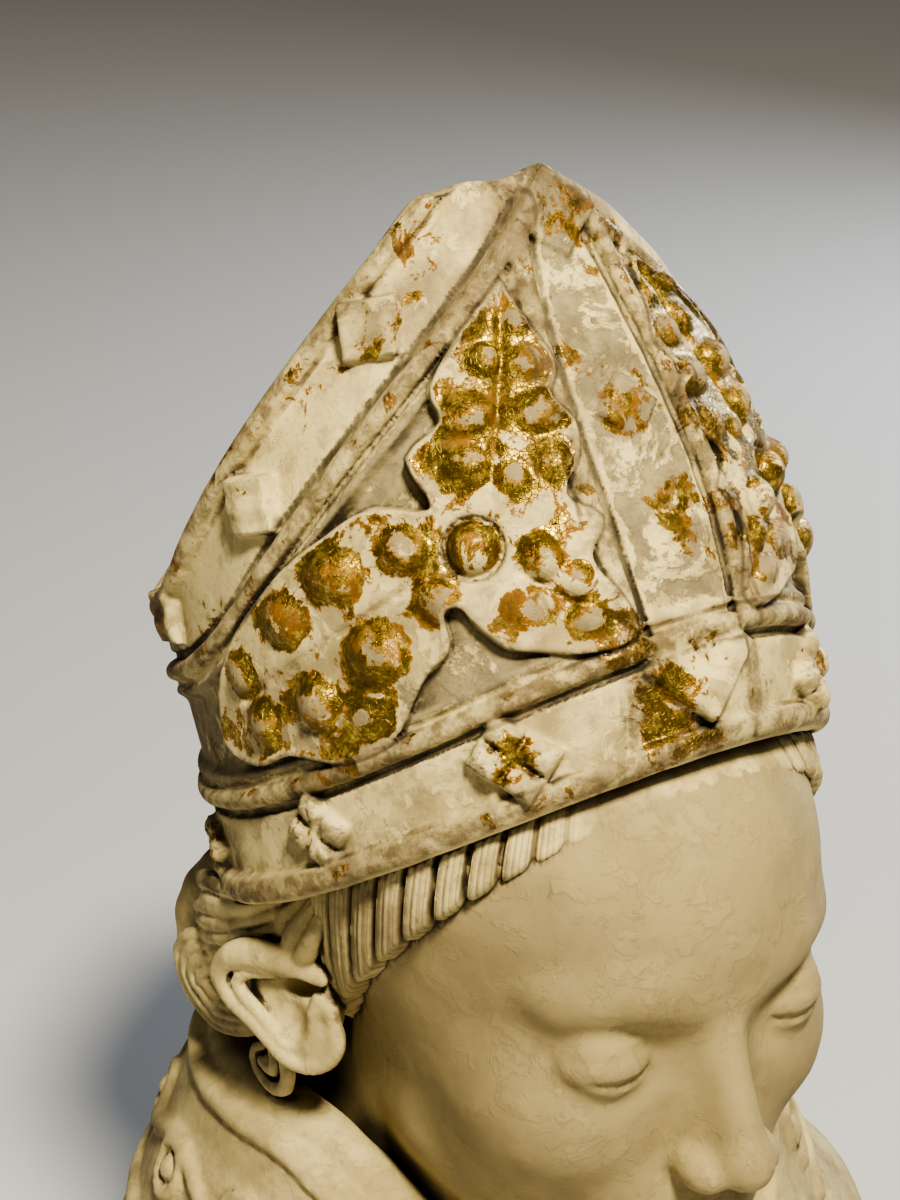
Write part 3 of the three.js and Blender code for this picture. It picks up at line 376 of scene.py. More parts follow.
# Foliage in the triangular field. Its outline is in (turn, height); a lobe is a rounded swelling of
# (turn, height, half-width, half-height, rise); grooves and a ridge leave a ringed bud.
LEAF_OUTLINE = (
    (17, 129), (26, 119), (34, 106), (33.5, 97), (40.5, 90), (38.5, 76), (48, 80), (56, 76.5), (66, 70),
    (76, 60), (82.5, 50), (87, 39.5), (88, 28), (81, 20.5), (73, 22), (64, 17.5), (54, 20), (49, 29),
    (46, 35), (41.5, 40), (41, 49), (38.5, 50), (36.5, 44), (33, 37), (28, 34), (22, 31), (15, 30),
    (11.5, 34), (13.5, 44), (16, 54), (12.5, 63), (17, 71), (13, 80), (11.5, 89), (14.5, 96), (11.5, 104),
    (13.5, 114), (17, 129),
)
LOBES = (
    (24, 119, 4.2, 4.6, 2.8), (16, 117, 4.2, 4.6, 2.8), (23.5, 109.5, 5, 5, 4), (16.5, 106.5, 5, 5, 3.8),
    (29, 97, 8, 6, 5.4), (17, 93.5, 7.2, 6, 5), (31.5, 84.5, 6.2, 6.2, 4.8), (24.5, 78, 4.4, 4.6, 3.4),
    (17.5, 80.5, 5.5, 6.5, 3.8), (44.5, 67, 7.5, 6.2, 6), (57, 66, 9.5, 7.6, 6), (67.5, 57.5, 7.4, 7.6, 5),
    (41.5, 54, 6.4, 7.8, 6), (53, 43.5, 9.6, 8.2, 7), (65, 34.5, 7.8, 8, 6.2), (76.5, 31.5, 6.4, 7, 5),
    (79, 46, 6, 6.5, 4), (57, 27, 7, 5, 3), (24, 57.5, 5.2, 7, 6), (19.5, 49, 4.8, 5.4, 4.4),
    (28, 45.5, 8, 5.5, 3), (19.5, 39, 5.5, 4.6, 4), (33, 41, 4, 4, 2),
)
BUD = (33.5, 63.5)
GROOVES = (
    ((29, 75), (23, 98), (17.5, 124)),
    ((41, 60), (59.5, 50), (80, 39)),
    ((28, 55), (23, 47), (14, 36)),
)
RIDGE = ((50, 57), (62, 49.5), (74, 43))
BUD_SPOT = Spot(*BUD)
COLLAR_RADIUS = 10.2
KNOB_RADIUS = 6.6
FOLIAGE_MIDDLE = (45, 65)
FOLIAGE_RADIUS = 75
STUD_REACH = 14


def degree_length(turn, h):
    """Length in mm of one degree of turn on the mitre's face."""
    t = radians(turn)
    return sqrt((half_width(h) * cos(t)) ** 2 + (half_depth(h, 1) * sin(t)) ** 2) * pi / 180


def outline_distance(x, y, points):
    """Signed distance to a closed outline in a plane."""
    nearest = np.full(x.shape, 1e9)
    inside = np.zeros(x.shape, bool)
    for (x0, y0), (x1, y1) in zip(points, points[1:]):
        dx, dy = x1 - x0, y1 - y0
        qx, qy = x - x0, y - y0
        t = clamp((qx * dx + qy * dy) / (dx * dx + dy * dy), 0, 1)
        nearest = np.minimum(nearest, (qx - t * dx) ** 2 + (qy - t * dy) ** 2)
        inside ^= ((y0 > y) != (y1 > y)) & (qx < dx * qy / (dy if abs(dy) > 1e-9 else 1e-9))
    return np.sqrt(nearest) * np.where(inside, -1, 1)


def leaf_distance(m):
    points = [(turn * ARC_PER_DEGREE, h) for turn, h in LEAF_OUTLINE]
    return outline_distance(m.arc, m.h, curve(points, 3))


def line_distance(m, line):
    """Distance to a line of (turn, height) on the unrolled mitre."""
    return chain((m.arc, m.h, 0 * m.h), [(turn * ARC_PER_DEGREE, h, 0, 0) for turn, h in line])


def lobe_swelling(m, lobe):
    """From 1 in the middle of a lobe to 0 at its edge and below 0 outside."""
    turn, h, across, up = lobe[:4]
    return 1 - ((m.turn - turn) * degree_length(turn, h) / across) ** 2 - ((m.h - h) / up) ** 2


def leaf_lift(m, leaf):
    """How far the leaf stands off the mitre's face."""
    lift = LEAF_LIFT + 0.6 * np.sin(m.arc * 0.33 + 1) * np.sin(m.h * 0.29)
    for lobe in LOBES:
        dome = lobe[4] * clamp(lobe_swelling(m, lobe), 0, 1) ** 0.7
        lift = -join(-lift, 1 - LEAF_LIFT - dome, 1.6)
    for groove in GROOVES:
        lift = lift - 1.7 * bump(line_distance(m, groove), 1.5)
    lift = lift + 1.6 * bump(line_distance(m, RIDGE), 2.2)
    rim = 0.9 + 0.6 * np.sin(m.arc * 0.13 + 2) * np.sin(m.h * 0.11 + 1)
    return lift + rim * bump(leaf + 1.0, 1.0)


def foliage(d, p, m):
    leaf = leaf_distance(m)
    s, t, off = BUD_SPOT.local(p)
    around = span(s, t)
    collar = 1 - ease(around, COLLAR_RADIUS, COLLAR_RADIUS + 1.5)
    lift = leaf_lift(m, leaf) * (1 - collar) + (LEAF_LIFT + 0.4) * collar
    lift = lift - 2.2 * bump(around - KNOB_RADIUS - 0.8, 1.1)
    sheet = np.maximum(meet(leaf * 0.9, (m.out - lift) * 0.75, 0.8), -m.out - 9)
    e = join(d, sheet, 0.4)
    return join(e, span(around, off - 0.6) - KNOB_RADIUS, 0.6)


# Square studs: plain bosses on the gable, four-petalled flowers on the circlet, flat lozenges in front
class Stud:
    def __init__(self, turn, h, half_size, lift, spin, petals=False, right_only=False):
        self.spot, self.half, self.lift = Spot(turn, h), half_size, lift
        self.spin, self.petals, self.right_only = spin, petals, right_only
        self.seed = turn + h

    def distance(self, p):
        s, t, off = self.spot.local(p)
        u = s * cos(self.spin) + t * sin(self.spin)
        v = t * cos(self.spin) - s * sin(self.spin)
        taper = np.maximum(off, 0) * 0.16
        du, dv = np.abs(u) - self.half[0] + taper, np.abs(v) - self.half[1] + taper
        top = self.lift + 0.5 * np.sin(u * 0.5 + self.seed) + 0.4 * np.sin(v * 0.7 + 2 * self.seed)
        if self.petals:
            quarter = span(np.abs(u) - self.half[0] * 0.5, np.abs(v) - self.half[1] * 0.5)
            top = top - 1.0 + 1.5 * bump(quarter, 4)
            top = top - 2.2 * bump(np.minimum(np.abs(u), np.abs(v)), 0.9)
            top = top - 1.2 * bump(np.abs(np.abs(u) - np.abs(v)), 0.7)
            top = top + 2.0 * bump(span(u, v), 2.2)
        dh = (off - top) * (0.7 if self.petals else 0.9)
        side = span(np.maximum(du, 0), np.maximum(dv, 0)) + np.minimum(np.maximum(du, dv), 0)
        return np.maximum(meet(side, dh, 1.2), -off - self.lift)


STUDS = (
    Stud(34.5, 9, (10.5, 8.5), 5, pi / 4, petals=True), Stud(70.5, 0.5, (9, 7.5), 4.6, pi / 4, petals=True),
    Stud(112, -2, (8, 7), 4.6, pi / 4, petals=True), Stud(150, 0, (8, 7), 4.6, pi / 4, petals=True),
    Stud(42.5, 125, (8.3, 8.3), 5.5, 0.12, right_only=True), Stud(69, 89, (8.3, 8.3), 5.5, 0.12),
    Stud(102, 66, (8, 8), 4, 0.1), Stud(0, 22, (12.5, 12.5), 3, pi / 4),
    Stud(0, 89, (7, 7), 3, pi / 4), Stud(0, 143, (9.5, 9.5), 3, pi / 4),
)


def mitre(point):
    m = MitreFace(to_mitre(point))
    d = mitre_body(m)
    close = np.abs(d) < DETAIL_REACH
    if not close.any():
        return d
    some = MitreFace((m.x[close], m.f[close], m.h[close]))
    p = folded((some.x, some.f, some.h))
    reach = Reach(p)
    e = d[close]
    if reach.near(on_mitre(*FOLIAGE_MIDDLE), FOLIAGE_RADIUS):
        e = foliage(e, p, some)
    above = some.h - some.broken
    for stud in STUDS:
        if reach.near(stud.spot.centre, STUD_REACH):
            one = np.maximum(stud.distance(p), above)
            if stud.right_only:
                one = one + far_where(some.x > 0)
            e = join(e, one, 0.6)
    d[close] = e
    return d


# Head
def skull(p):
    q = tuple(part / HEAD_SIZE for part in p)
    d = ellipsoid(q, (0, 2, 36), (73, 90, 83))
    d = join(d, ellipsoid(q, (0, -36, 44), (56, 55, 48)), 16)
    return join(d, ellipsoid(q, (0, -37, -16), (59, 53, 70)), 18) * HEAD_SIZE


EYE = (31, -75.5, 12)
LID_HINGE = (-6.5, -0.8)


def eyelid(e, radius, tilt, side):
    above = e[2] - LID_HINGE[1] - (LID_HINGE[0] - e[1]) * tilt
    return meet(span(*e) - radius, -above * side, 1.0)


def face(point):
    d = skull(point) / HEAD_SIZE
    p = tuple(part / HEAD_SIZE for part in point)
    x, y, z = p
    # cheeks, jaw, chin and the round of the mouth
    d = join(d, ellipsoid(p, (32, -59, -12), (26, 26, 24)), 18)
    d = join(d, rod(p, (42, -20, -44), (10, -70, -72), 15, 14), 20)
    d = join(d, ellipsoid(p, (0, -78, -77), (17, 17, 15)), 16)
    d = join(d, ellipsoid(p, (0, -72, -46), (29, 26, 27)), 16)
    # brow and eye sockets
    d = join(d, chain(p, ((8, -82, 29, 4), (24, -83, 36, 4.6), (43, -70, 32, 4)), 3), 14)
    d = cut(d, ellipsoid(p, (31, -98, 14), (18, 13, 9.5)), 10)
    # nose
    d = join(d, rod(p, (0, -80, 20), (0, -95, -16), 8, 10.5), 7)
    d = join(d, rod(p, (0, -84.5, 26), (0, -107, -13), 5.2, 6), 7)
    d = join(d, ball(p, (0, -108, -18), 7.8), 5)
    d = join(d, ellipsoid(p, (10, -99, -22), (6, 9.5, 6.2)), 4.5)
    d = join(d, rod(p, (0, -106, -25), (0, -97, -27), 3.8), 3)
    d = cut(d, ellipsoid(p, (5.4, -104, -28), (2.6, 5, 3.4)), 2)
    # mouth
    d = join(d, chain(p, ((0, -96.5, -43.5, 3.2), (9, -95, -44, 3.6), (21, -87, -47.5, 1.8)), 1), 5)
    d = join(d, chain(p, ((0, -95.5, -53, 4.4), (9, -93.5, -52.5, 3.8), (19, -87, -49.5, 2)), 1), 5)
    d = cut(d, ellipsoid(p, (0, -105, -63.5), (15, 9, 6)), 8)
    line = ((0, -101, -48.2, 0.9), (10, -99, -47.6, 0.9), (22, -91, -48.8, 0.8))
    d = cut(d, chain(p, line), 2.6)
    d = cut(d, rod(p, (0, -103, -31), (0, -102, -39), 2.2, 3), 4)
    # eyeball, half-lowered lids and the fold above them
    e = (x - EYE[0], y - EYE[1], z - EYE[2])
    away = span(*e)
    d = join(d, away - 12.2, 1)
    d = join(d, eyelid(e, 14.2, 0.12, 1), 3)
    d = join(d, eyelid(e, 13.8, -0.62, -1), 3)
    d = join(d, ball(p, (17.5, -80.5, 11), 4), 4)
    fold = span(away - 15.2, e[2] - 6.6 + 0.012 * e[0] ** 2) - 0.9
    return cut(d, np.maximum(np.maximum(fold, e[1] + 4), -8 - e[0]), 1.8) * HEAD_SIZE


LOCK_ANGLE = 7.2
HAIR_FOOT = -38
HAIR_SHELL = 5
CROWN_Y = -8


def head_turn(x, y):
    """Turn round the head in degrees, 0 in front."""
    return turn_of(x, CROWN_Y - y)


def lock_phase(x, y, z):
    """Whole numbers lie on the grooves between the temple locks."""
    return (head_turn(x, y) + 1 + 1.2 * np.sin(z * 0.06)) / LOCK_ANGLE


def temple_hair(p):
    """Straight locks on the temples, cut off along a rising line."""
    x, y, z = p
    thick = 0.2 + 7 * ease(head_turn(x, y), 26, 76)
    phase = lock_phase(x, y, z)
    groove = ease(np.abs(phase - np.floor(phase) - 0.5) * 2, 0.56, 1)
    strand = 0.3 * np.cos(phase * 6 * pi) * ease(thick, 1.5, 5)
    d = skull(p) - thick + np.minimum(0.7 * thick, 3.2) * groove ** 1.5 + strand
    fringe = (1.36 * (-y - 10.5) + 4.7 - z) * 0.59 + 1.6 * groove
    return np.maximum(meet(d, fringe, 2), HAIR_FOOT - z)


# Ear. Its own axes: a back, b up along the leaning ear, c outwards
EAR_AT = (81, -26, 220)
EAR_LEAN = radians(24)
EAR_FLARE = radians(24)
EAR_SCALE = 0.84
EAR_REACH = 35
EAR_RIM = (
    (-16, 9, -1, 3), (-12, 12.5, 0.5, 4.4), (-4, 16.5, 2, 5.4), (6, 20, 3, 5.6), (14, 20.5, 3.5, 5),
    (20.5, 18.5, 4, 4), (25, 13, 3.5, 3.4), (22, 4, 3, 2.8), (15.8, -3.2, 2.5, 2.6), (11, -10, 2, 2.6),
    (6, -17, 1, 2.8), (-1, -20.5, -0.5, 3), (-9, -19.5, -1.5, 3.4), (-14.5, -15, -2, 3.4),
    (-15.5, -8.5, -2.5, 3),
)
EAR_FOLD = (
    (4, 12.5, 0, 2), (13, 14, 1.5, 2.4), (18.5, 10.5, 1.5, 2.6), (16.5, 5, 1.5, 2.5), (12.5, 0, 1, 2.4),
    (9, -6, 0.5, 2.3), (5.5, -11.5, 0, 2.3), (1, -15, -1, 2.2),
)
EAR_TRAGUS = ((-12, 2, -2, 2.4), (-9.4, -3, -1, 2.6), (-8.6, -8.5, -1, 2.4))


def ear(p):
    dx, dy, dz = np.abs(p[0]) - EAR_AT[0], p[1] - EAR_AT[1], p[2] - EAR_AT[2]
    back = dy * cos(EAR_LEAN) - dz * sin(EAR_LEAN)
    up = dy * sin(EAR_LEAN) + dz * cos(EAR_LEAN)
    a = back * cos(EAR_FLARE) + dx * sin(EAR_FLARE)
    c = dx * cos(EAR_FLARE) - back * sin(EAR_FLARE)
    q = (a / EAR_SCALE, up / EAR_SCALE, c / EAR_SCALE)
    shell = join(ellipsoid(q, (3, 2, -7), (18, 19, 6.5)), ellipsoid(q, (-4.5, -12, -4), (12.5, 11.5, 6)), 4)
    d = join(shell, ellipsoid(q, (0, 1, -13), (12, 19, 8)), 6)
    flat = (q[0], q[1], q[2] * 1.3)
    d = join(d, 0.9 * chain(flat, curve(EAR_RIM, 3), 0.6), 1.4)
    d = join(d, chain(q, curve(EAR_FOLD, 2), 0.6), 1.0)
    d = cut(d, ellipsoid(q, (-6.5, 7, -2), (6.5, 4.8, 8)), 1.6)
    d = cut(d, ellipsoid(q, (0, -3, 4), (7.5, 9, 7)), 2.5)
    d = join(d, chain(q, EAR_TRAGUS, 0.6), 1.0)
    return join(d, ball(q, (-15, -2.5, -2.5), 3), 3) * EAR_SCALE


# Thick locks round the back of the nape, each curling at its end
CURLS = 7
CURL_SWEEP = 46
CURL_CENTRE_Y = -15
CURL_PATH = (
    (-8, 70, 76, 228, 8), (-3, 84, 92, 217, 9.5), (-2, 90, 99, 204, 10), (3, 87, 96, 191, 9),
    (10, 82, 90, 183, 7.5),
)
CURL_END = (11, 84, 92, 187, 8)
CURL_REACH = 40

# Locks of several strands behind each ear, as points (x, y, z, half-width) on the figure's left side
SIDE_LOCKS = (
    (3, ((74, -26, 257, 3), (80, -16, 250, 3.6), (83, -6, 243.5, 4.4), (83, 4, 239, 5), (82, 13, 236, 5.4),
         (80, 21, 232, 5.6), (75, 30, 226, 5.6), (68, 38, 220, 4.5))),
    (4, ((73, -26, 249, 3), (80, -15, 241, 4.2), (83.5, -5, 235.5, 5.2), (84, 4, 230.5, 6.2),
         (83, 13, 226.5, 6.6), (81, 22, 222, 6.6), (76, 32, 215.5, 6.4), (69, 41, 208.5, 5))),
    (4, ((78, 15, 218, 4), (82, 25, 212, 5.6), (82.5, 31, 205, 6.8), (82, 28, 198.5, 6.4), (82, 19, 195.5, 5),
         (82, 8, 197.5, 4), (79, -4, 202, 3))),
    (3, ((73, -33, 259, 3.5), (77.5, -30, 250, 5), (78.5, -26, 243, 6), (78, -22, 236, 5),
         (76, -17, 230, 3.5))),
    (2, ((74, -4, 201, 2), (79, -12, 200.5, 2.5), (80, -18, 197, 3), (80, -17, 190.5, 3), (80, -11, 188, 3),
         (81, -6, 191.5, 2.5), (80, -9, 195, 2))),
)


def strands_of(count, path):
    """Parallel strands along a path, side by side within its half-width."""
    path = curve(path, 3)
    points, half = path[:, :3], path[:, 3:]
    across = np.cross(np.gradient(points, axis=0), (1, 0, 0))
    across /= np.linalg.norm(across, axis=1, keepdims=True)
    places = np.linspace(-1, 1, count)
    radii = half * (1.12 / (count - 1) if count > 2 else 0.8)
    return [np.hstack([points + across * half * place - (0.7 * place ** 2, 0, 0), radii]) for place in places]


STRANDS = [strand for lock in SIDE_LOCKS for strand in strands_of(*lock)]
SIDE_LOCKS_MIDDLE = (80, 10, 215)
SIDE_LOCKS_RADIUS = 50


def curl_point(middle, side, turn, a, b, h, r):
    w = radians(middle + side * turn)
    return a * sin(w), CURL_CENTRE_Y + b * cos(w), h, r


def nape(p, mirrored, reach):
    ring = span(oval(p[0], p[1] - CURL_CENTRE_Y, 66, 84), (p[2] - 206) * 0.6) - 11
    d = np.maximum(ring, -(p[1] + 14))
    for i in range(CURLS):
        middle = -CURL_SWEEP + 2 * CURL_SWEEP * i / (CURLS - 1)
        side = -1 if i < CURLS / 2 else 1
        path = [curl_point(middle, side, *row) for row in CURL_PATH]
        end = curl_point(middle, side, *CURL_END)
        if reach.near(path[2], CURL_REACH):
            d = join(d, join(chain(p, curve(path, 2), 1.5), ball(p, end[:3], end[3]), 2), 1.6)
    if reach.near_either(SIDE_LOCKS_MIDDLE, SIDE_LOCKS_RADIUS):
        for strand in STRANDS:
            d = join(d, chain(mirrored, strand, 0), 0.4)
    return d


# Dress
BODY_AT = (0, 6, 4)
BODY = (156, 104, 122)
FOLD_HEIGHTS = (92, 70, 45, 20, -9)
FOLD_TURNS = ((40, 47), (64, 68), (90, 88), (117, 110), (148, 138))
FOLD_RADII = (6, 11)


def on_body(turn, z, sunk):
    k = sqrt(1 - ((z - BODY_AT[2]) / BODY[2]) ** 2)
    side = (BODY[0] * k - sunk) * sin(radians(turn))
    return side, BODY_AT[1] - (BODY[1] * k - sunk) * cos(radians(turn)), z


def fold_path(high, low):
    path = []
    for i, z in enumerate(FOLD_HEIGHTS):
        t = i / (len(FOLD_HEIGHTS) - 1)
        r = FOLD_RADII[0] + (FOLD_RADII[1] - FOLD_RADII[0]) * t
        path.append((*on_body(high + (low - high) * t, z, 5), r))
    return path


FOLDS = [fold_path(high, low) for high, low in FOLD_TURNS]


def shoulders(p, mirrored):
    d = ellipsoid(p, BODY_AT, BODY)
    d = join(d, rod(mirrored, (40, 8, 84), (112, 8, 40), 50, 44), 30)
    for fold in FOLDS:
        d = join(d, chain(mirrored, fold), 14)
    return d


BAND_X = 33
BAND_HALF = 17
BAND_CORD_X = 15.5


def bands(d, cloth, x, y, z):
    """Two flat bands down the front of the cope, with corded edges."""
    away = far_where(y > 0)
    across = np.abs(x) - BAND_X - 0.06 * (90 - z)
    e = join(d, meet(cloth - 3.2, np.abs(across) - BAND_HALF, 1.5) + away, 0.8)
    for edge in (-BAND_CORD_X, BAND_CORD_X):
        e = join(e, span(cloth - 3, across - edge) - 2.4 + away, 0.8)
    return e


def hood(d, cloth, x, y, z):
    """A shield-shaped hood on the back."""
    away = far_where(y < 0)
    shield = span(np.maximum(np.abs(x) - 34, 0), np.maximum(48 - z, 0)) - 26
    e = join(d, meet(cloth - 4, shield, 2) + away, 1.2)
    return join(e, span(cloth - 4, shield + 3) - 2.8 + away, 1.2)


VINE_WAVES = 8
VINE_RADIUS = 100
VINE_DROP = 30
VINE_SWING = 7
LOW_ROLL_DROP = 56
HIDDEN_BEFORE_Y = -62


def rim_height(x, y):
    frontness = 1 - ease(turn_of(np.abs(x), -y), 0, 80)
    return RIM_HEIGHT - RIM_DROP * frontness, frontness


def collar(d, p):
    """A flaring band with a vine on it, a soft roll of cloth inside, and a hollow round the neck."""
    x, y, z = p
    py = y - NECK_AXIS_Y
    rim, frontness = rim_height(x, y)
    s = clamp((z - 100) / 76, -0.5, 1.2)
    a, b = 118 - 32 * s, 104 - 26 * s
    out = oval(x, py, a, b)
    e = join(d, np.maximum(meet(out * 0.92, z - rim, 3), COLLAR_FOOT - COLLAR_DIP * frontness - z), 4)
    e = cut(e, np.maximum(oval(x, py, a - 15, b - 15), rim - 48 - z), 3)
    e = join(e, span(oval(x, py, 76, 68), (z - rim + 7) * 0.6) - 9, 1.5)
    e = join(e, span(out, z - rim + 4) - 2.8, 1.2)
    away = far_where(y < HIDDEN_BEFORE_Y)
    e = join(e, span(out, z - rim + LOW_ROLL_DROP) - 2.8 + away, 1.2)
    turn = turn_of(x, y)
    half = 180 / VINE_WAVES
    middle = rim - VINE_DROP
    vine = span(out - 0.5, (z - middle - VINE_SWING * np.sin(np.radians(turn) * VINE_WAVES)) * 0.8) - 2.4
    cell = np.floor(turn / half)
    side = (turn - (cell + 0.5) * half) * VINE_RADIUS * pi / 180
    up = z - middle + np.where(cell % 2 == 0, 1.5, -1.5)
    curl = span(out - 1, span(side, up) - 7.5) - 2.2
    bud = span(out, side, up) - 4.2
    return join(e, np.minimum(join(vine, curl, 1.2), bud) + away, 1.2)


CLASP = (0, -101, 58)
CLASP_RADIUS = 22
CLASP_REACH = 30
PEARLS = 8
PEARL_CIRCLE = 11


def clasp(d, p, reach):
    """Round clasp on the chest, with eight pearls round a ninth."""
    if not reach.near(CLASP, CLASP_REACH):
        return d
    around, off = span(p[0] - CLASP[0], p[2] - CLASP[2]), p[1] - CLASP[1]
    e = join(d, meet(around - CLASP_RADIUS, np.abs(off) - 5, 1.5), 1.5)
    e = join(e, span(around - CLASP_RADIUS + 3, off + 5) - 2.6, 0.8)
    for i in range(PEARLS):
        turn = i * pi / (PEARLS / 2)
        across, up = PEARL_CIRCLE * sin(turn), PEARL_CIRCLE * cos(turn)
        e = join(e, ball(p, (CLASP[0] + across, CLASP[1] - 5, CLASP[2] + up), 4.3), 0.8)
    return join(e, ball(p, (CLASP[0], CLASP[1] - 6, CLASP[2]), 5), 0.8)


# Two lappets of the mitre hang down the back: points (y, z) of their middle line
LAPPET_PATH = ((66, 232), (84, 200), (95, 172), (105, 110), (108, 40))
LAPPET_X = 30
LAPPET_HALF = 14
LAPPET_DEPTH = 18
LAPPET_FIRST_Y = 20


def lappets(d, p):
    x, y, z = p
    ys, zs = zip(*LAPPET_PATH)
    depth = (y - np.interp(z, zs[::-1], ys[::-1])) * 0.92 - 4
    ends = np.maximum(z - zs[0], zs[-1] - z)
    pad = np.maximum(np.abs(depth + LAPPET_DEPTH) - LAPPET_DEPTH, ends)
    past_side = np.abs(np.abs(x) - LAPPET_X) - LAPPET_HALF
    pad = meet(pad, past_side, 1.5)
    edge = np.maximum(span(depth, past_side + 2.4) - 1.6, ends)
    return join(d, join(pad, edge, 0.8) + far_where(y < LAPPET_FIRST_Y), 1.2)


def dressed(d, p):
    """The unevenness left by the chisel."""
    return d + 0.15 * wobble(p, 17, 1.0)


def above_low_cord(p):
    """Positive above the hidden surface inside the mitre where the parts of the head end."""
    m = MitreFace(to_mitre(p))
    return m.h - m.low - np.where(m.out < -PLATE_THICKNESS / 2, 8, 2)


def mitre_part(points):
    p = tuple(points.T)
    return dressed(mitre(p), p)


def head_part(points):
    """Neck and face. They end out of sight, inside the mitre and the dress."""
    p = tuple(points.T)
    d = rod(p, (0, -25, 204), (0, 2, 90), 54, 60)
    if p[2].max() + SLACK > FACE_LOWEST:
        d = join(d, face(to_head(folded(p))), 8)
    return np.maximum(np.maximum(dressed(d, p), above_low_cord(p)), NECK_FOOT - p[2])


def hair_part(points):
    """The straight hair round the head, as a thick shell."""
    p = tuple(points.T)
    if p[2].max() + SLACK < HAIR_LOWEST:
        return np.full(len(points), FAR)
    point = to_head(folded(p))
    d = np.maximum(temple_hair(point), -skull(point) - HAIR_SHELL)
    return np.maximum(dressed(d, p), above_low_cord(p))


def locks_part(points):
    """Ears, and the curling locks behind them and round the nape."""
    p = tuple(points.T)
    if p[2].max() + SLACK < LOCKS_LOWEST or p[2].min() - SLACK > LOCKS_HIGHEST:
        return np.full(len(points), FAR)
    reach = Reach(p)
    d = nape(p, folded(p), reach)
    if reach.near_either(EAR_AT, EAR_REACH):
        d = join(d, ear(p), 1.0)
    return np.maximum(dressed(d, p) + 0.1 * wobble(p, 7, 2.0), above_low_cord(p))


def dress_part(points):
    p = tuple(points.T)
    if p[2].min() - SLACK > DRESS_HIGHEST:
        return np.full(len(points), FAR)
    cloth = shoulders(p, folded(p))
    d = hood(bands(cloth, cloth, *p), cloth, *p)
    d = clasp(collar(d, p), p, Reach(p))
    d = lappets(d, p) + 0.2 * wobble(p, 17, 1.0)
    return np.maximum(d, SAWN_OFF - p[2])


def bust(points):
    """The whole stone."""
    d = np.minimum(np.minimum(head_part(points), hair_part(points)), locks_part(points))
    z = points[:, 2]
    if z.min() - SLACK < DRESS_HIGHEST:
        d = np.minimum(d, dress_part(points))
    if z.max() + SLACK > MITRE_LOWEST:
        d = np.minimum(d, mitre_part(points))
    return d


# From distances to a mesh
def evaluate(field, points):
    """Works the field out at many points, neighbours together and on several threads."""
    cells = np.floor(points / CELL).astype(np.int64) + 512
    keys = (cells[:, 0] << 20) + (cells[:, 1] << 10) + cells[:, 2]
    order = np.argsort(keys, kind="stable")
    ends = np.nonzero(np.diff(keys[order]))[0] + 1
    values = np.empty(len(points))

    def work(group):
        values[group] = field(points[group])

    with ThreadPoolExecutor(THREADS) as pool:
        list(pool.map(work, np.split(order, ends)))
    return values


def sample(field, low, high, step):
    """Distances on a grid. Only blocks near the surface are worked out at every grid point."""
    low = np.asarray(low, float)
    blocks = np.ceil((np.asarray(high) - low) / (step * BLOCK)).astype(int)
    axes = [low[i] + step * BLOCK * (np.arange(blocks[i]) + 0.5) - step / 2 for i in range(3)]
    centres = np.stack(np.meshgrid(*axes, indexing="ij"), -1).reshape(-1, 3)
    coarse = evaluate(field, centres)
    volume = coarse.reshape(blocks).astype(np.float32)
    for axis in range(3):
        volume = np.repeat(volume, BLOCK, axis)
    near = np.nonzero(np.abs(coarse) < step * BLOCK * BLOCK_REACH * BLOCK_MARGIN)[0]
    inner = np.stack(np.meshgrid(*[np.arange(BLOCK)] * 3, indexing="ij"), -1).reshape(-1, 3)
    at = (np.stack(np.unravel_index(near, blocks), -1)[:, None] * BLOCK + inner).reshape(-1, 3)
    volume[at[:, 0], at[:, 1], at[:, 2]] = evaluate(field, low + at * step)
    return volume


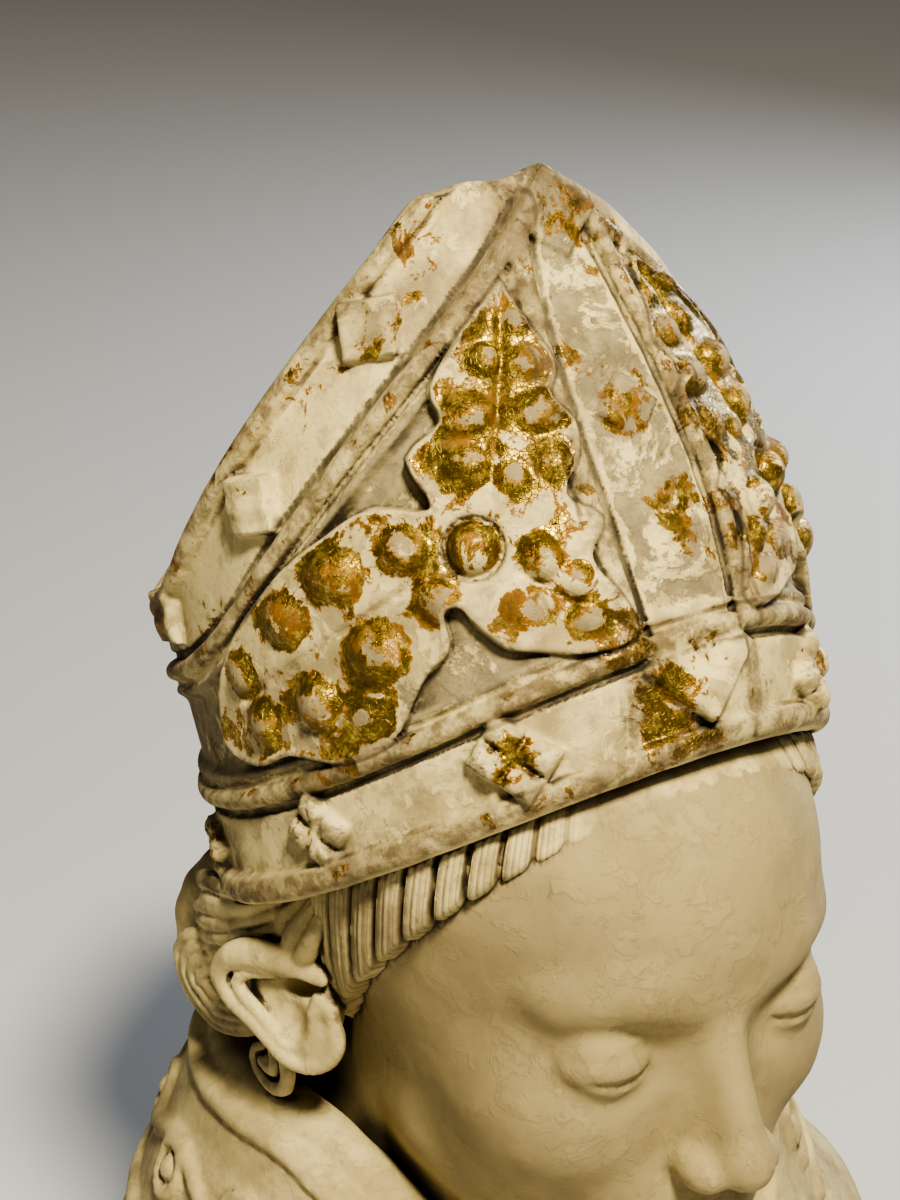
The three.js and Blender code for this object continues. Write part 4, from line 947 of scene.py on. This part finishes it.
def surface_nets(volume, low, step):
    """One corner in each grid cell that the surface crosses, and a square across each crossed edge."""
    inside = volume < 0
    size = np.array(volume.shape)
    corners = [(i, j, k) for i in (0, 1) for j in (0, 1) for k in (0, 1)]
    count = np.zeros(size - 1, np.uint8)
    for i, j, k in corners:
        count += inside[i:size[0] - 1 + i, j:size[1] - 1 + j, k:size[2] - 1 + k]
    crossed = np.nonzero(((count > 0) & (count < 8)).ravel())[0]
    numbers = np.full(count.size, -1, np.int64)
    numbers[crossed] = np.arange(len(crossed))
    numbers = numbers.reshape(count.shape)
    cell = np.stack(np.unravel_index(crossed, count.shape), -1)
    value = {}
    for i, j, k in corners:
        value[i, j, k] = volume[cell[:, 0] + i, cell[:, 1] + j, cell[:, 2] + k].astype(float)
    total = np.zeros((len(cell), 3))
    hits = np.zeros(len(cell))
    for start in corners:
        for axis in range(3):
            if start[axis]:
                continue
            end = tuple(1 if n == axis else start[n] for n in range(3))
            a, b = value[start], value[end]
            crosses = (a < 0) != (b < 0)
            place = np.repeat(np.array([start], float), len(cell), 0)
            place[:, axis] = np.where(crosses, a / np.where(crosses, a - b, 1), 0)
            total += place * crosses[:, None]
            hits += crosses
    vertices = np.asarray(low) + (cell + total / hits[:, None]) * step
    squares = []
    for axis in range(3):
        first, second = (axis + 1) % 3, (axis + 2) % 3
        start = [slice(1, -1)] * 3
        start[axis] = slice(0, -1)
        end = [slice(1, -1)] * 3
        end[axis] = slice(1, None)
        a, b = inside[tuple(start)], inside[tuple(end)]
        edge = np.stack(np.nonzero(a != b), -1)
        outwards = a[edge[:, 0], edge[:, 1], edge[:, 2]]
        edge[:, first] += 1
        edge[:, second] += 1
        ring = []
        for back1, back2 in ((1, 1), (0, 1), (0, 0), (1, 0)):
            g = edge.copy()
            g[:, first] -= back1
            g[:, second] -= back2
            ring.append(numbers[g[:, 0], g[:, 1], g[:, 2]])
        ring = np.stack(ring, -1)
        ring[~outwards] = ring[~outwards][:, ::-1]
        squares.append(ring)
    return vertices, np.concatenate(squares)


def flat_cut(mesh):
    """Saws the stone off flat at the underside and closes the cut."""
    bm = bmesh.new()
    bm.from_mesh(mesh)
    everything = bm.verts[:] + bm.edges[:] + bm.faces[:]
    bmesh.ops.bisect_plane(bm, geom=everything, plane_co=(0, 0, 0), plane_no=(0, 0, -1), clear_outer=True)
    rim = [edge for edge in bm.edges if edge.is_boundary]
    bmesh.ops.contextual_create(bm, geom=rim)
    bmesh.ops.triangulate(bm, faces=[face for face in bm.faces if len(face.verts) > 4])
    bm.to_mesh(mesh)
    bm.free()


def decimated(piece, triangles):
    """Applies a collapse that leaves about the given number of triangles."""
    thin = piece.modifiers.new("thin", "DECIMATE")
    thin.ratio = triangles / sum(len(face.vertices) - 2 for face in piece.data.polygons)
    depsgraph = bpy.context.evaluated_depsgraph_get()
    mesh = bpy.data.meshes.new_from_object(piece.evaluated_get(depsgraph))
    piece.modifiers.clear()
    piece.data = mesh


def placed(name, data):
    """A new object in the scene."""
    thing = bpy.data.objects.new(name, data)
    bpy.context.collection.objects.link(thing)
    return thing


def carve(name, field, low, high, step):
    vertices, squares = surface_nets(sample(field, low, high, step), low, step)
    mesh = bpy.data.meshes.new(name)
    mesh.from_pydata((vertices * MM).tolist(), [], squares.tolist())
    piece = placed(name, mesh)
    if len(squares) * 2 > TRIANGLES:
        decimated(piece, TRIANGLES)
    if low[2] < 0:
        flat_cut(piece.data)
    piece.data.shade_smooth()
    return piece


# Masks that the stone's material reads, one number for each corner of the mesh
MASKS = ("rough", "groove", "hollow", "ridge", "mitre", "cord", "crease", "fillet", "leaf", "bare", "lobe",
         "gilt", "hair", "strand")
MASK_LIMIT = 12
HOLLOW_REACHES = (1.3, 5.0)
RIDGE_REACH = 2.5


def write_mask(mesh, name, values):
    layer = mesh.attributes.new(name, "FLOAT", "POINT")
    layer.data.foreach_set("value", np.asarray(values, np.float32))


def mitre_distance(values, on):
    """A distance kept within the limit, and the limit where there is no mitre."""
    return clamp(values, -MASK_LIMIT, MASK_LIMIT) * on + MASK_LIMIT * (1 - on)


def paint_masks(mesh, rough):
    count = len(mesh.vertices)
    write_mask(mesh, "rough", np.full(count, rough))
    place = np.empty(count * 3, np.float32)
    normal = np.empty(count * 3, np.float32)
    mesh.vertices.foreach_get("co", place)
    mesh.vertex_normals.foreach_get("vector", normal)
    place = place.reshape(-1, 3).astype(float) / MM
    normal = normal.reshape(-1, 3).astype(float)
    # How closed in each corner is, near and farther off, and how much the stone falls away behind it: the
    # material paints shade in narrow grooves and wider hollows from the first two, and wears the wash off
    # ridges with the third
    hollow = [clamp(1 - evaluate(bust, place + normal * far) / far, 0, 2) for far in HOLLOW_REACHES]
    ridge = clamp(1 + evaluate(bust, place - normal * RIDGE_REACH) / RIDGE_REACH, 0, 1)
    write_mask(mesh, "groove", hollow[0])
    write_mask(mesh, "hollow", hollow[1])
    write_mask(mesh, "ridge", ridge)

    p = tuple(place.T)
    m = MitreFace(to_mitre(p))
    side = folded((m.x, m.f, m.h))
    on = ease(m.out, -8, -3) * ease(m.h - m.low, -6, -3)
    write_mask(mesh, "mitre", on)

    # distances from the middle line of the nearest roll, from its outer crease and from its fillet
    beside_titulus = m.half - np.abs(m.x)
    lines = np.stack([m.past_inner, beside_titulus + far_where(m.f <= 0), m.high - m.h, m.low - m.h,
                      m.past_outer + EDGE_INSET])
    nearest = np.abs(lines).min(0)
    for name, middle in (("cord", 0), ("crease", CREASE), ("fillet", -CREASE)):
        write_mask(mesh, name, mitre_distance(np.abs(lines - middle).min(0), on))

    leaf = leaf_distance(m)
    write_mask(mesh, "leaf", mitre_distance(leaf, on))
    titulus = ease(beside_titulus, 5, 8) * ease(m.h - m.high, 4, 10) * ease(m.f, 0, 10)
    write_mask(mesh, "bare", on * np.maximum(ease(m.inside, 3, 7) * ease(leaf, -0.5, 1.0), 0.8 * titulus))
    s, t, off = BUD_SPOT.local(side)
    knob = 1 - (span(s, t, off) / KNOB_RADIUS) ** 2
    swell = np.maximum(np.max([lobe_swelling(m, lobe) for lobe in LOBES], axis=0), knob)
    write_mask(mesh, "lobe", on * clamp(swell, -1, 1))

    small_leaf = ease(60 - m.h, -3, 3) * ease(38 - m.turn, -4, 4)
    share = (0.43 + 0.19 * ease(m.h, 64, 84)) * (1 - 0.3 * small_leaf)
    all_over = share * ease(-leaf, -0.4, 1.8)
    gilt = on * (all_over + 0.32 * ease(swell, -0.7, 0.2) * ease(-leaf, 0, 1.5))
    gilt = np.maximum(gilt, 0.36 * on * ease(3.6 - nearest, 0, 1.5))
    for turn, h, size, strength in GILT_SPOTS:
        away = span(m.arc * np.sign(m.x) - turn * ARC_PER_DEGREE, m.h - h)
        gilt = np.maximum(gilt, strength * on * (1 - ease(away, size * 0.4, size)))
    for stud in STUDS:
        away = span(*(side[i] - stud.spot.centre[i] for i in range(3)))
        gilt = np.maximum(gilt, 0.5 * on * (1 - ease(away, 7, 12)))
    write_mask(mesh, "gilt", gilt)

    head_point = to_head(folded(p))
    beside = ease(head_turn(*head_point[:2]), 28, 44)
    write_mask(mesh, "hair", (1 - ease(temple_hair(head_point), 0.4, 1.2)) * (1 - on) * beside)
    write_mask(mesh, "strand", lock_phase(*head_point))


# Patches where gilding is left besides the leaves: (turn, height, size, strength). The figure's right is
# negative.
GILT_SPOTS = (
    (-5, 9, 24, 0.60), (-14, 31, 14, 0.6), (8, 60, 30, 0.5), (2, 110, 34, 0.44), (-34, 140, 22, 0.5),
    (-60, 112, 16, 0.5), (10, 135, 26, 0.55), (-52, 118, 14, 0.5), (34, 90, 70, 0.56), (-86, 60, 14, 0.45),
    (-38, 146, 30, 0.45),
)


# Materials
class Nodes:
    """A short way to write a node tree."""

    def __init__(self, name):
        self.material = bpy.data.materials.new(name)
        self.material.use_nodes = True
        self.tree = self.material.node_tree
        self.shader = self.tree.nodes["Principled BSDF"]
        self.place = self.add("TexCoord", output="Object")

    def add(self, kind, inputs=None, output=0, **settings):
        node = self.tree.nodes.new("ShaderNode" + kind)
        for key, value in settings.items():
            setattr(node, key, value)
        for key, value in (inputs or {}).items():
            self.put(node.inputs[key], value)
        return node.outputs[output]

    def put(self, socket, value):
        if isinstance(value, bpy.types.NodeSocket):
            self.tree.links.new(value, socket)
        else:
            socket.default_value = value

    def mask(self, name):
        return self.add("Attribute", attribute_name=name, output="Fac")

    def math(self, operation, a, b=0.0, c=0.0):
        return self.add("Math", {0: a, 1: b, 2: c}, operation=operation)

    def times(self, a, b, plus=None):
        """The product of two values, with a third one added to it where it is given."""
        return self.math("MULTIPLY", a, b) if plus is None else self.math("MULTIPLY_ADD", a, b, plus)

    def noise(self, scale, detail=4.0, rough=0.6, distortion=0.0, output="Fac"):
        settings = {"Scale": scale, "Detail": detail, "Roughness": rough, "Distortion": distortion}
        return self.add("TexNoise", {"Vector": self.place, **settings}, output=output)

    def step(self, value, low, high, to_low=0.0, to_high=1.0):
        inputs = {"Value": value, "From Min": low, "From Max": high, "To Min": to_low, "To Max": to_high}
        return self.add("MapRange", inputs, interpolation_type="SMOOTHSTEP")

    def mix(self, amount, a, b):
        """The first colour, and the second one where the amount is 1."""
        node = self.tree.nodes.new("ShaderNodeMix")
        node.data_type = "RGBA"
        self.put(node.inputs["Factor"], amount)
        self.put(node.inputs[6], a)
        self.put(node.inputs[7], b)
        return node.outputs[2]


WASH = (0.43, 0.345, 0.165, 1)
WASH_PALE = (0.70, 0.59, 0.30, 1)
WASH_TAN = (0.255, 0.20, 0.105, 1)
WASH_OCHRE = (0.26, 0.205, 0.10, 1)
BARE_STONE = (0.165, 0.135, 0.078, 1)
BARE_PALE = (0.30, 0.245, 0.135, 1)
# Near black for painted shade in creases, hollows, grooves and under the leaf's edge
PAINTED_SHADE = (0.045, 0.032, 0.016, 1)
# Brown for dirt on the rolls and fine specks, for painted shade between the locks of hair, and for the line
# beside the fillets
DIRT_AND_SHADE_BROWN = (0.125, 0.082, 0.033, 1)
AMBER = (0.42, 0.17, 0.012, 1)
BOLE = (0.25, 0.115, 0.014, 1)
BOLE_DEEP = (0.12, 0.065, 0.012, 1)
GOLD = (0.215, 0.15, 0.035, 1)
# Pale gold for painted glints on the gold
GOLD_GLINT_PAINTED = (0.62, 0.46, 0.12, 1)
RUBBED = (0.25, 0.195, 0.10, 1)


def wash_layers(n, rough, mitre, ridge, bare):
    """Limewash in soft clouds and a few crisp pale flakes, and the grey stone where it has gone."""
    broad = n.noise(17, 5, 0.6)
    patch = n.noise(90, 10, 0.68, 0.5)
    washed = n.step(broad, 0.34, 0.62, n.step(rough, 0, 1, 0.45, 0.0), 1.0)
    colour = n.mix(washed, WASH_TAN, WASH)
    soft = n.step(n.noise(30, 8, 0.64), 0.40, 0.60, 0, 0.85)
    colour = n.mix(n.times(soft, n.step(rough, 0, 1, 0.3, 1)), colour, WASH_PALE)
    mottle = n.step(n.noise(150, 7, 0.72), 0.48, 0.66, 0, 0.5)
    colour = n.mix(n.times(mottle, n.step(rough, 0, 1, 0.35, 1)), colour, WASH_TAN)
    colour = n.mix(n.step(rough, 0, 1, 0.5, 0), colour, WASH_OCHRE)
    pale = n.step(n.times(broad, 0.35, patch), 0.68, 0.74)
    colour = n.mix(n.times(pale, n.step(mitre, 0, 1, 0.05, 0.7)), colour, WASH_PALE)
    worn = n.noise(62, 12, 0.74, 0.4)
    worn = n.times(bare, 0.22, worn)
    worn = n.times(mitre, 0.04, worn)
    lost = n.step(n.times(ridge, 0.08, worn), 0.655, 0.72)
    stone = n.mix(n.step(n.noise(130, 6, 0.7), 0.35, 0.65), BARE_STONE, BARE_PALE)
    return n.mix(n.times(lost, 0.85), colour, stone), lost, pale


def gilding_layers(n, colour, gilt, lobe):
    """Bole and dark gold with painted pale glints, ragged amber edges and fine cracks, rubbed to tan on
    the crowns of the lobes.
    """
    cover = n.times(gilt, 0.5, n.noise(64, 12, 0.72, 0.5))
    crown = n.times(lobe, 0.24, n.noise(95, 9, 0.68))
    bared = n.times(n.step(crown, 0.69, 0.72), n.step(cover, 0.76, 0.80, 0, 0.8))
    colour = n.mix(bared, colour, RUBBED)
    depth = n.math("MINIMUM", n.math("SUBTRACT", cover, 0.775), n.math("SUBTRACT", 0.70, crown))
    flecks = n.times(gilt, 0.22, n.noise(150, 8, 0.7))
    depth = n.math("MAXIMUM", depth, n.math("SUBTRACT", flecks, 0.735))
    gilded = n.step(depth, 0.0, 0.010)
    deep = n.step(n.times(n.noise(110, 6, 0.7), 0.05, depth), 0.03, 0.065)
    cracks = n.add("TexVoronoi", {"Vector": n.place, "Scale": 620.0, "Randomness": 1.0},
                   feature="DISTANCE_TO_EDGE", output="Distance")
    gold_share = n.times(n.step(n.noise(52, 8, 0.7), 0.38, 0.50), deep)
    # Dark gold with pale patches painted in as glints
    gold = n.mix(n.step(n.noise(230, 5, 0.75), 0.46, 0.66), GOLD, GOLD_GLINT_PAINTED)
    bole = n.mix(n.step(n.noise(90, 7, 0.72), 0.35, 0.62), BOLE_DEEP, BOLE)
    bole = n.mix(deep, AMBER, bole)
    leaf_gold = n.mix(gold_share, bole, gold)
    crack_line = n.step(cracks, 0.0, 0.07, 0.75, 0.0)
    leaf_gold = n.mix(n.times(crack_line, gold_share), leaf_gold, BOLE_DEEP)
    return n.mix(gilded, colour, leaf_gold), gilded, gold_share, crack_line


# Brown dirt on the rolls, painted shade in the creases and a brown line beside the fillets, along the
# mouldings: mask, distances where it is full and where it ends, noise, its range, colour
MOULDING_DIRT_AND_SHADE = (
    ("cord", 2.2, 4.2, (160, 7, 0.72), (0.38, 0.62, 0.15, 0.8), DIRT_AND_SHADE_BROWN),
    ("crease", 0.2, 1.1, (60, 5, 0.6), (0.35, 0.6, 0.2, 0.75), PAINTED_SHADE),
    ("fillet", 0.3, 1.1, (38, 6, 0.66), (0.44, 0.60, 0.1, 0.85), DIRT_AND_SHADE_BROWN),
)


def dirt_and_shade_layers(n, colour, masks):
    """Brown dirt on the rolls and fine specks; painted shade in the creases, under the leaf's edge, in
    hollows and grooves and between the locks of hair; and a brown line beside the fillets.
    """
    # Dirt on the rolls, painted shade in the creases, and a brown line in the groove beside the fillets
    for name, full, end, cloud, limits, darkening in MOULDING_DIRT_AND_SHADE:
        amount = n.times(n.step(masks[name], full, end, 1.0, 0.0), n.step(n.noise(*cloud), *limits))
        colour = n.mix(amount, colour, darkening)
    # Painted shadow in a thin line just outside the leaf's edge, under its raised rim
    from_brink = n.math("ABSOLUTE", n.math("SUBTRACT", masks["leaf"], 0.5))
    leaf_edge_shadow = n.times(n.step(from_brink, 0.1, 0.9, 1.0, 0.0), 0.6)
    colour = n.mix(n.times(leaf_edge_shadow, masks["mitre"]), colour, PAINTED_SHADE)
    # Painted shade in the grooves between the temple locks and, finer, between their strands
    lock = n.math("COSINE", n.times(masks["strand"], 2 * pi))
    fine = n.math("COSINE", n.times(masks["strand"], 10 * pi, n.noise(60, 2, 0.5)))
    grooves = n.math("MAXIMUM", n.step(lock, 0.6, 1.0, 0, 0.85), n.step(fine, 0.5, 1.0, 0, 0.4))
    colour = n.mix(n.times(grooves, masks["hair"]), colour, DIRT_AND_SHADE_BROWN)
    # Painted shade in hollows, ragged with noise
    hollow_shade = n.times(n.noise(34, 7, 0.66), 0.5, masks["hollow"])
    colour = n.mix(n.step(hollow_shade, 0.68, 1.45, 0, 0.9), colour, PAINTED_SHADE)
    # Painted shade in narrow grooves, weaker on the smooth face
    groove_shade = n.times(masks["groove"], 1.5, n.times(n.noise(90, 6, 0.7), 0.5))
    groove_shade = n.times(n.step(groove_shade, 0.55, 1.25, 0, 0.9), n.step(masks["rough"], 0, 0.5, 0.4, 1))
    colour = n.mix(groove_shade, colour, PAINTED_SHADE)
    speck = n.step(n.noise(420, 3, 0.8), 0.63, 0.74, 0, 0.6)
    colour = n.mix(n.times(speck, n.step(masks["mitre"], 0, 1, 0.5, 1)), colour, DIRT_AND_SHADE_BROWN)
    return colour, lock, fine


def limestone():
    n = Nodes("limestone")
    masks = {name: n.mask(name) for name in MASKS}
    colour, lost, pale = wash_layers(n, masks["rough"], masks["mitre"], masks["ridge"], masks["bare"])
    colour, gilded, gold_share, crack_line = gilding_layers(n, colour, masks["gilt"], masks["lobe"])
    colour, lock, fine = dirt_and_shade_layers(n, colour, masks)
    n.put(n.shader.inputs["Base Color"], colour)

    shine = n.times(gilded, gold_share)
    n.put(n.shader.inputs["Metallic"], n.times(shine, 0.8))
    n.put(n.shader.inputs["Roughness"], n.step(shine, 0, 1, 0.8, 0.34))

    # relief: uneven dressing, grain, the thickness of the wash and gold, hair strands, tool scratches
    relief = n.times(n.noise(42, 8, 0.6), 0.7)
    grain = n.times(n.noise(330, 6, 0.7), n.step(masks["mitre"], 0, 1, 0.10, 0.24))
    relief = n.math("ADD", relief, grain)
    relief = n.times(lost, -0.22, relief)
    relief = n.times(pale, 0.10, relief)
    relief = n.times(gilded, 0.22, relief)
    relief = n.times(n.times(gilded, crack_line), -0.10, relief)
    waves = n.times(lock, 0.5, n.times(fine, 0.16))
    relief = n.times(n.times(waves, masks["hair"]), -0.7, relief)
    stretching = {"Rotation": (0.5, 0.9, 0.3), "Scale": (60.0, 900.0, 900.0)}
    stretched = n.add("Mapping", {"Vector": n.place, **stretching})
    lines = n.add("TexNoise", {"Vector": stretched, "Scale": 1.0, "Detail": 2.0})
    scratch = n.times(n.step(lines, 0.66, 0.74), n.step(n.noise(14, 2, 0.5), 0.5, 0.62))
    relief = n.times(scratch, 0.12, relief)
    bump = n.add("Bump", {"Strength": 0.8, "Distance": 0.0012, "Height": relief}, output="Normal")
    n.put(n.shader.inputs["Normal"], bump)
    return n.material


def plain(name, colour, roughness):
    n = Nodes(name)
    dusty = tuple(c * 0.96 for c in colour)
    n.put(n.shader.inputs["Base Color"], n.mix(n.noise(3, 3, 0.5), colour, dusty))
    n.shader.inputs["Roughness"].default_value = roughness
    return n.material


# Studio
FLOOR_SIZE = 9.0
FLOOR_COLOUR = (0.56, 0.55, 0.53, 1)
CAMERA_AT = (-0.4008, -0.5976, 0.6501)
CAMERA_AZIMUTH = radians(-33.2)
CAMERA_ELEVATION = radians(24.9)
FOCAL_PIXELS = 2744
PHOTO_HEIGHT = 1200
SENSOR = 24.0


def add_floor():
    bm = bmesh.new()
    bmesh.ops.create_grid(bm, x_segments=8, y_segments=8, size=FLOOR_SIZE / 2)
    mesh = bpy.data.meshes.new("floor")
    bm.to_mesh(mesh)
    bm.free()
    mesh.materials.append(plain("floor", FLOOR_COLOUR, 0.9))
    floor = placed("floor", mesh)


def add_light(name, at, target, size, power, colour):
    data = bpy.data.lights.new(name, "AREA")
    data.shape = "DISK"
    data.size, data.energy, data.color = size, power, colour
    light = placed(name, data)
    light.location = at
    light.rotation_euler = (Vector(target) - Vector(at)).to_track_quat("-Z", "Y").to_euler()


def add_camera():
    data = bpy.data.cameras.new("camera")
    data.sensor_fit = "VERTICAL"
    data.sensor_height = SENSOR
    data.lens = SENSOR * FOCAL_PIXELS / PHOTO_HEIGHT
    camera = placed("camera", data)
    az, el = CAMERA_AZIMUTH, CAMERA_ELEVATION
    back = Vector((sin(az) * cos(el), -cos(az) * cos(el), sin(el)))
    right = Vector((cos(az), sin(az), 0))
    up = back.cross(right)
    camera.matrix_world = Matrix.Translation(CAMERA_AT) @ Matrix((right, up, back)).transposed().to_4x4()
    bpy.context.scene.camera = camera


# The one stone as five closed meshes, which meet in the creases under the mitre, round the hair and
# inside the collar: name, distances, lowest and highest corner of the grid, its step, and how rough and
# worn the stone is
PIECES = (
    ("mitre_stone", mitre_part, (-98, -126, 206), (98, 142, 462), 0.95, 1.0),
    ("head_stone", head_part, (-90, -152, 40), (90, 90, 336), 1.3, 0.0),
    ("hair_stone", hair_part, (-90, -110, 180), (90, 90, 336), 0.85, 0.8),
    ("locks_stone", locks_part, (-104, -60, 164), (104, 100, 270), 0.75, 0.8),
    ("dress_stone", dress_part, (-182, -165, -6), (182, 150, 244), 1.6, 0.6),
)
material = limestone()
for piece_name, distances, lowest, highest, grid_step, roughness in PIECES:
    stone = carve(piece_name, distances, lowest, highest, grid_step)
    paint_masks(stone.data, roughness)
    stone.data.materials.append(material)
    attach(stone, "root")
    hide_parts("limestone_bust")

add_floor()
HEAD = (0, 0, 0.3)
add_light("key", (-0.30, -0.95, 1.75), HEAD, 0.3, 54, (1.0, 0.92, 0.75))
add_light("fill", (-1.8, -1.2, 0.7), HEAD, 1.2, 2.2, (1.0, 0.91, 0.76))
add_light("rim", (1.4, 0.5, 0.7), HEAD, 0.5, 14, (0.78, 0.87, 1.0))
world = bpy.data.worlds.new("studio")
world.use_nodes = True
sky = world.node_tree.nodes["Background"].inputs
sky["Color"].default_value = (0.93, 0.95, 1.0, 1)
sky["Strength"].default_value = 0.08
bpy.context.scene.world = world
bpy.context.scene.view_settings.look = "AgX - High Contrast"
add_camera()
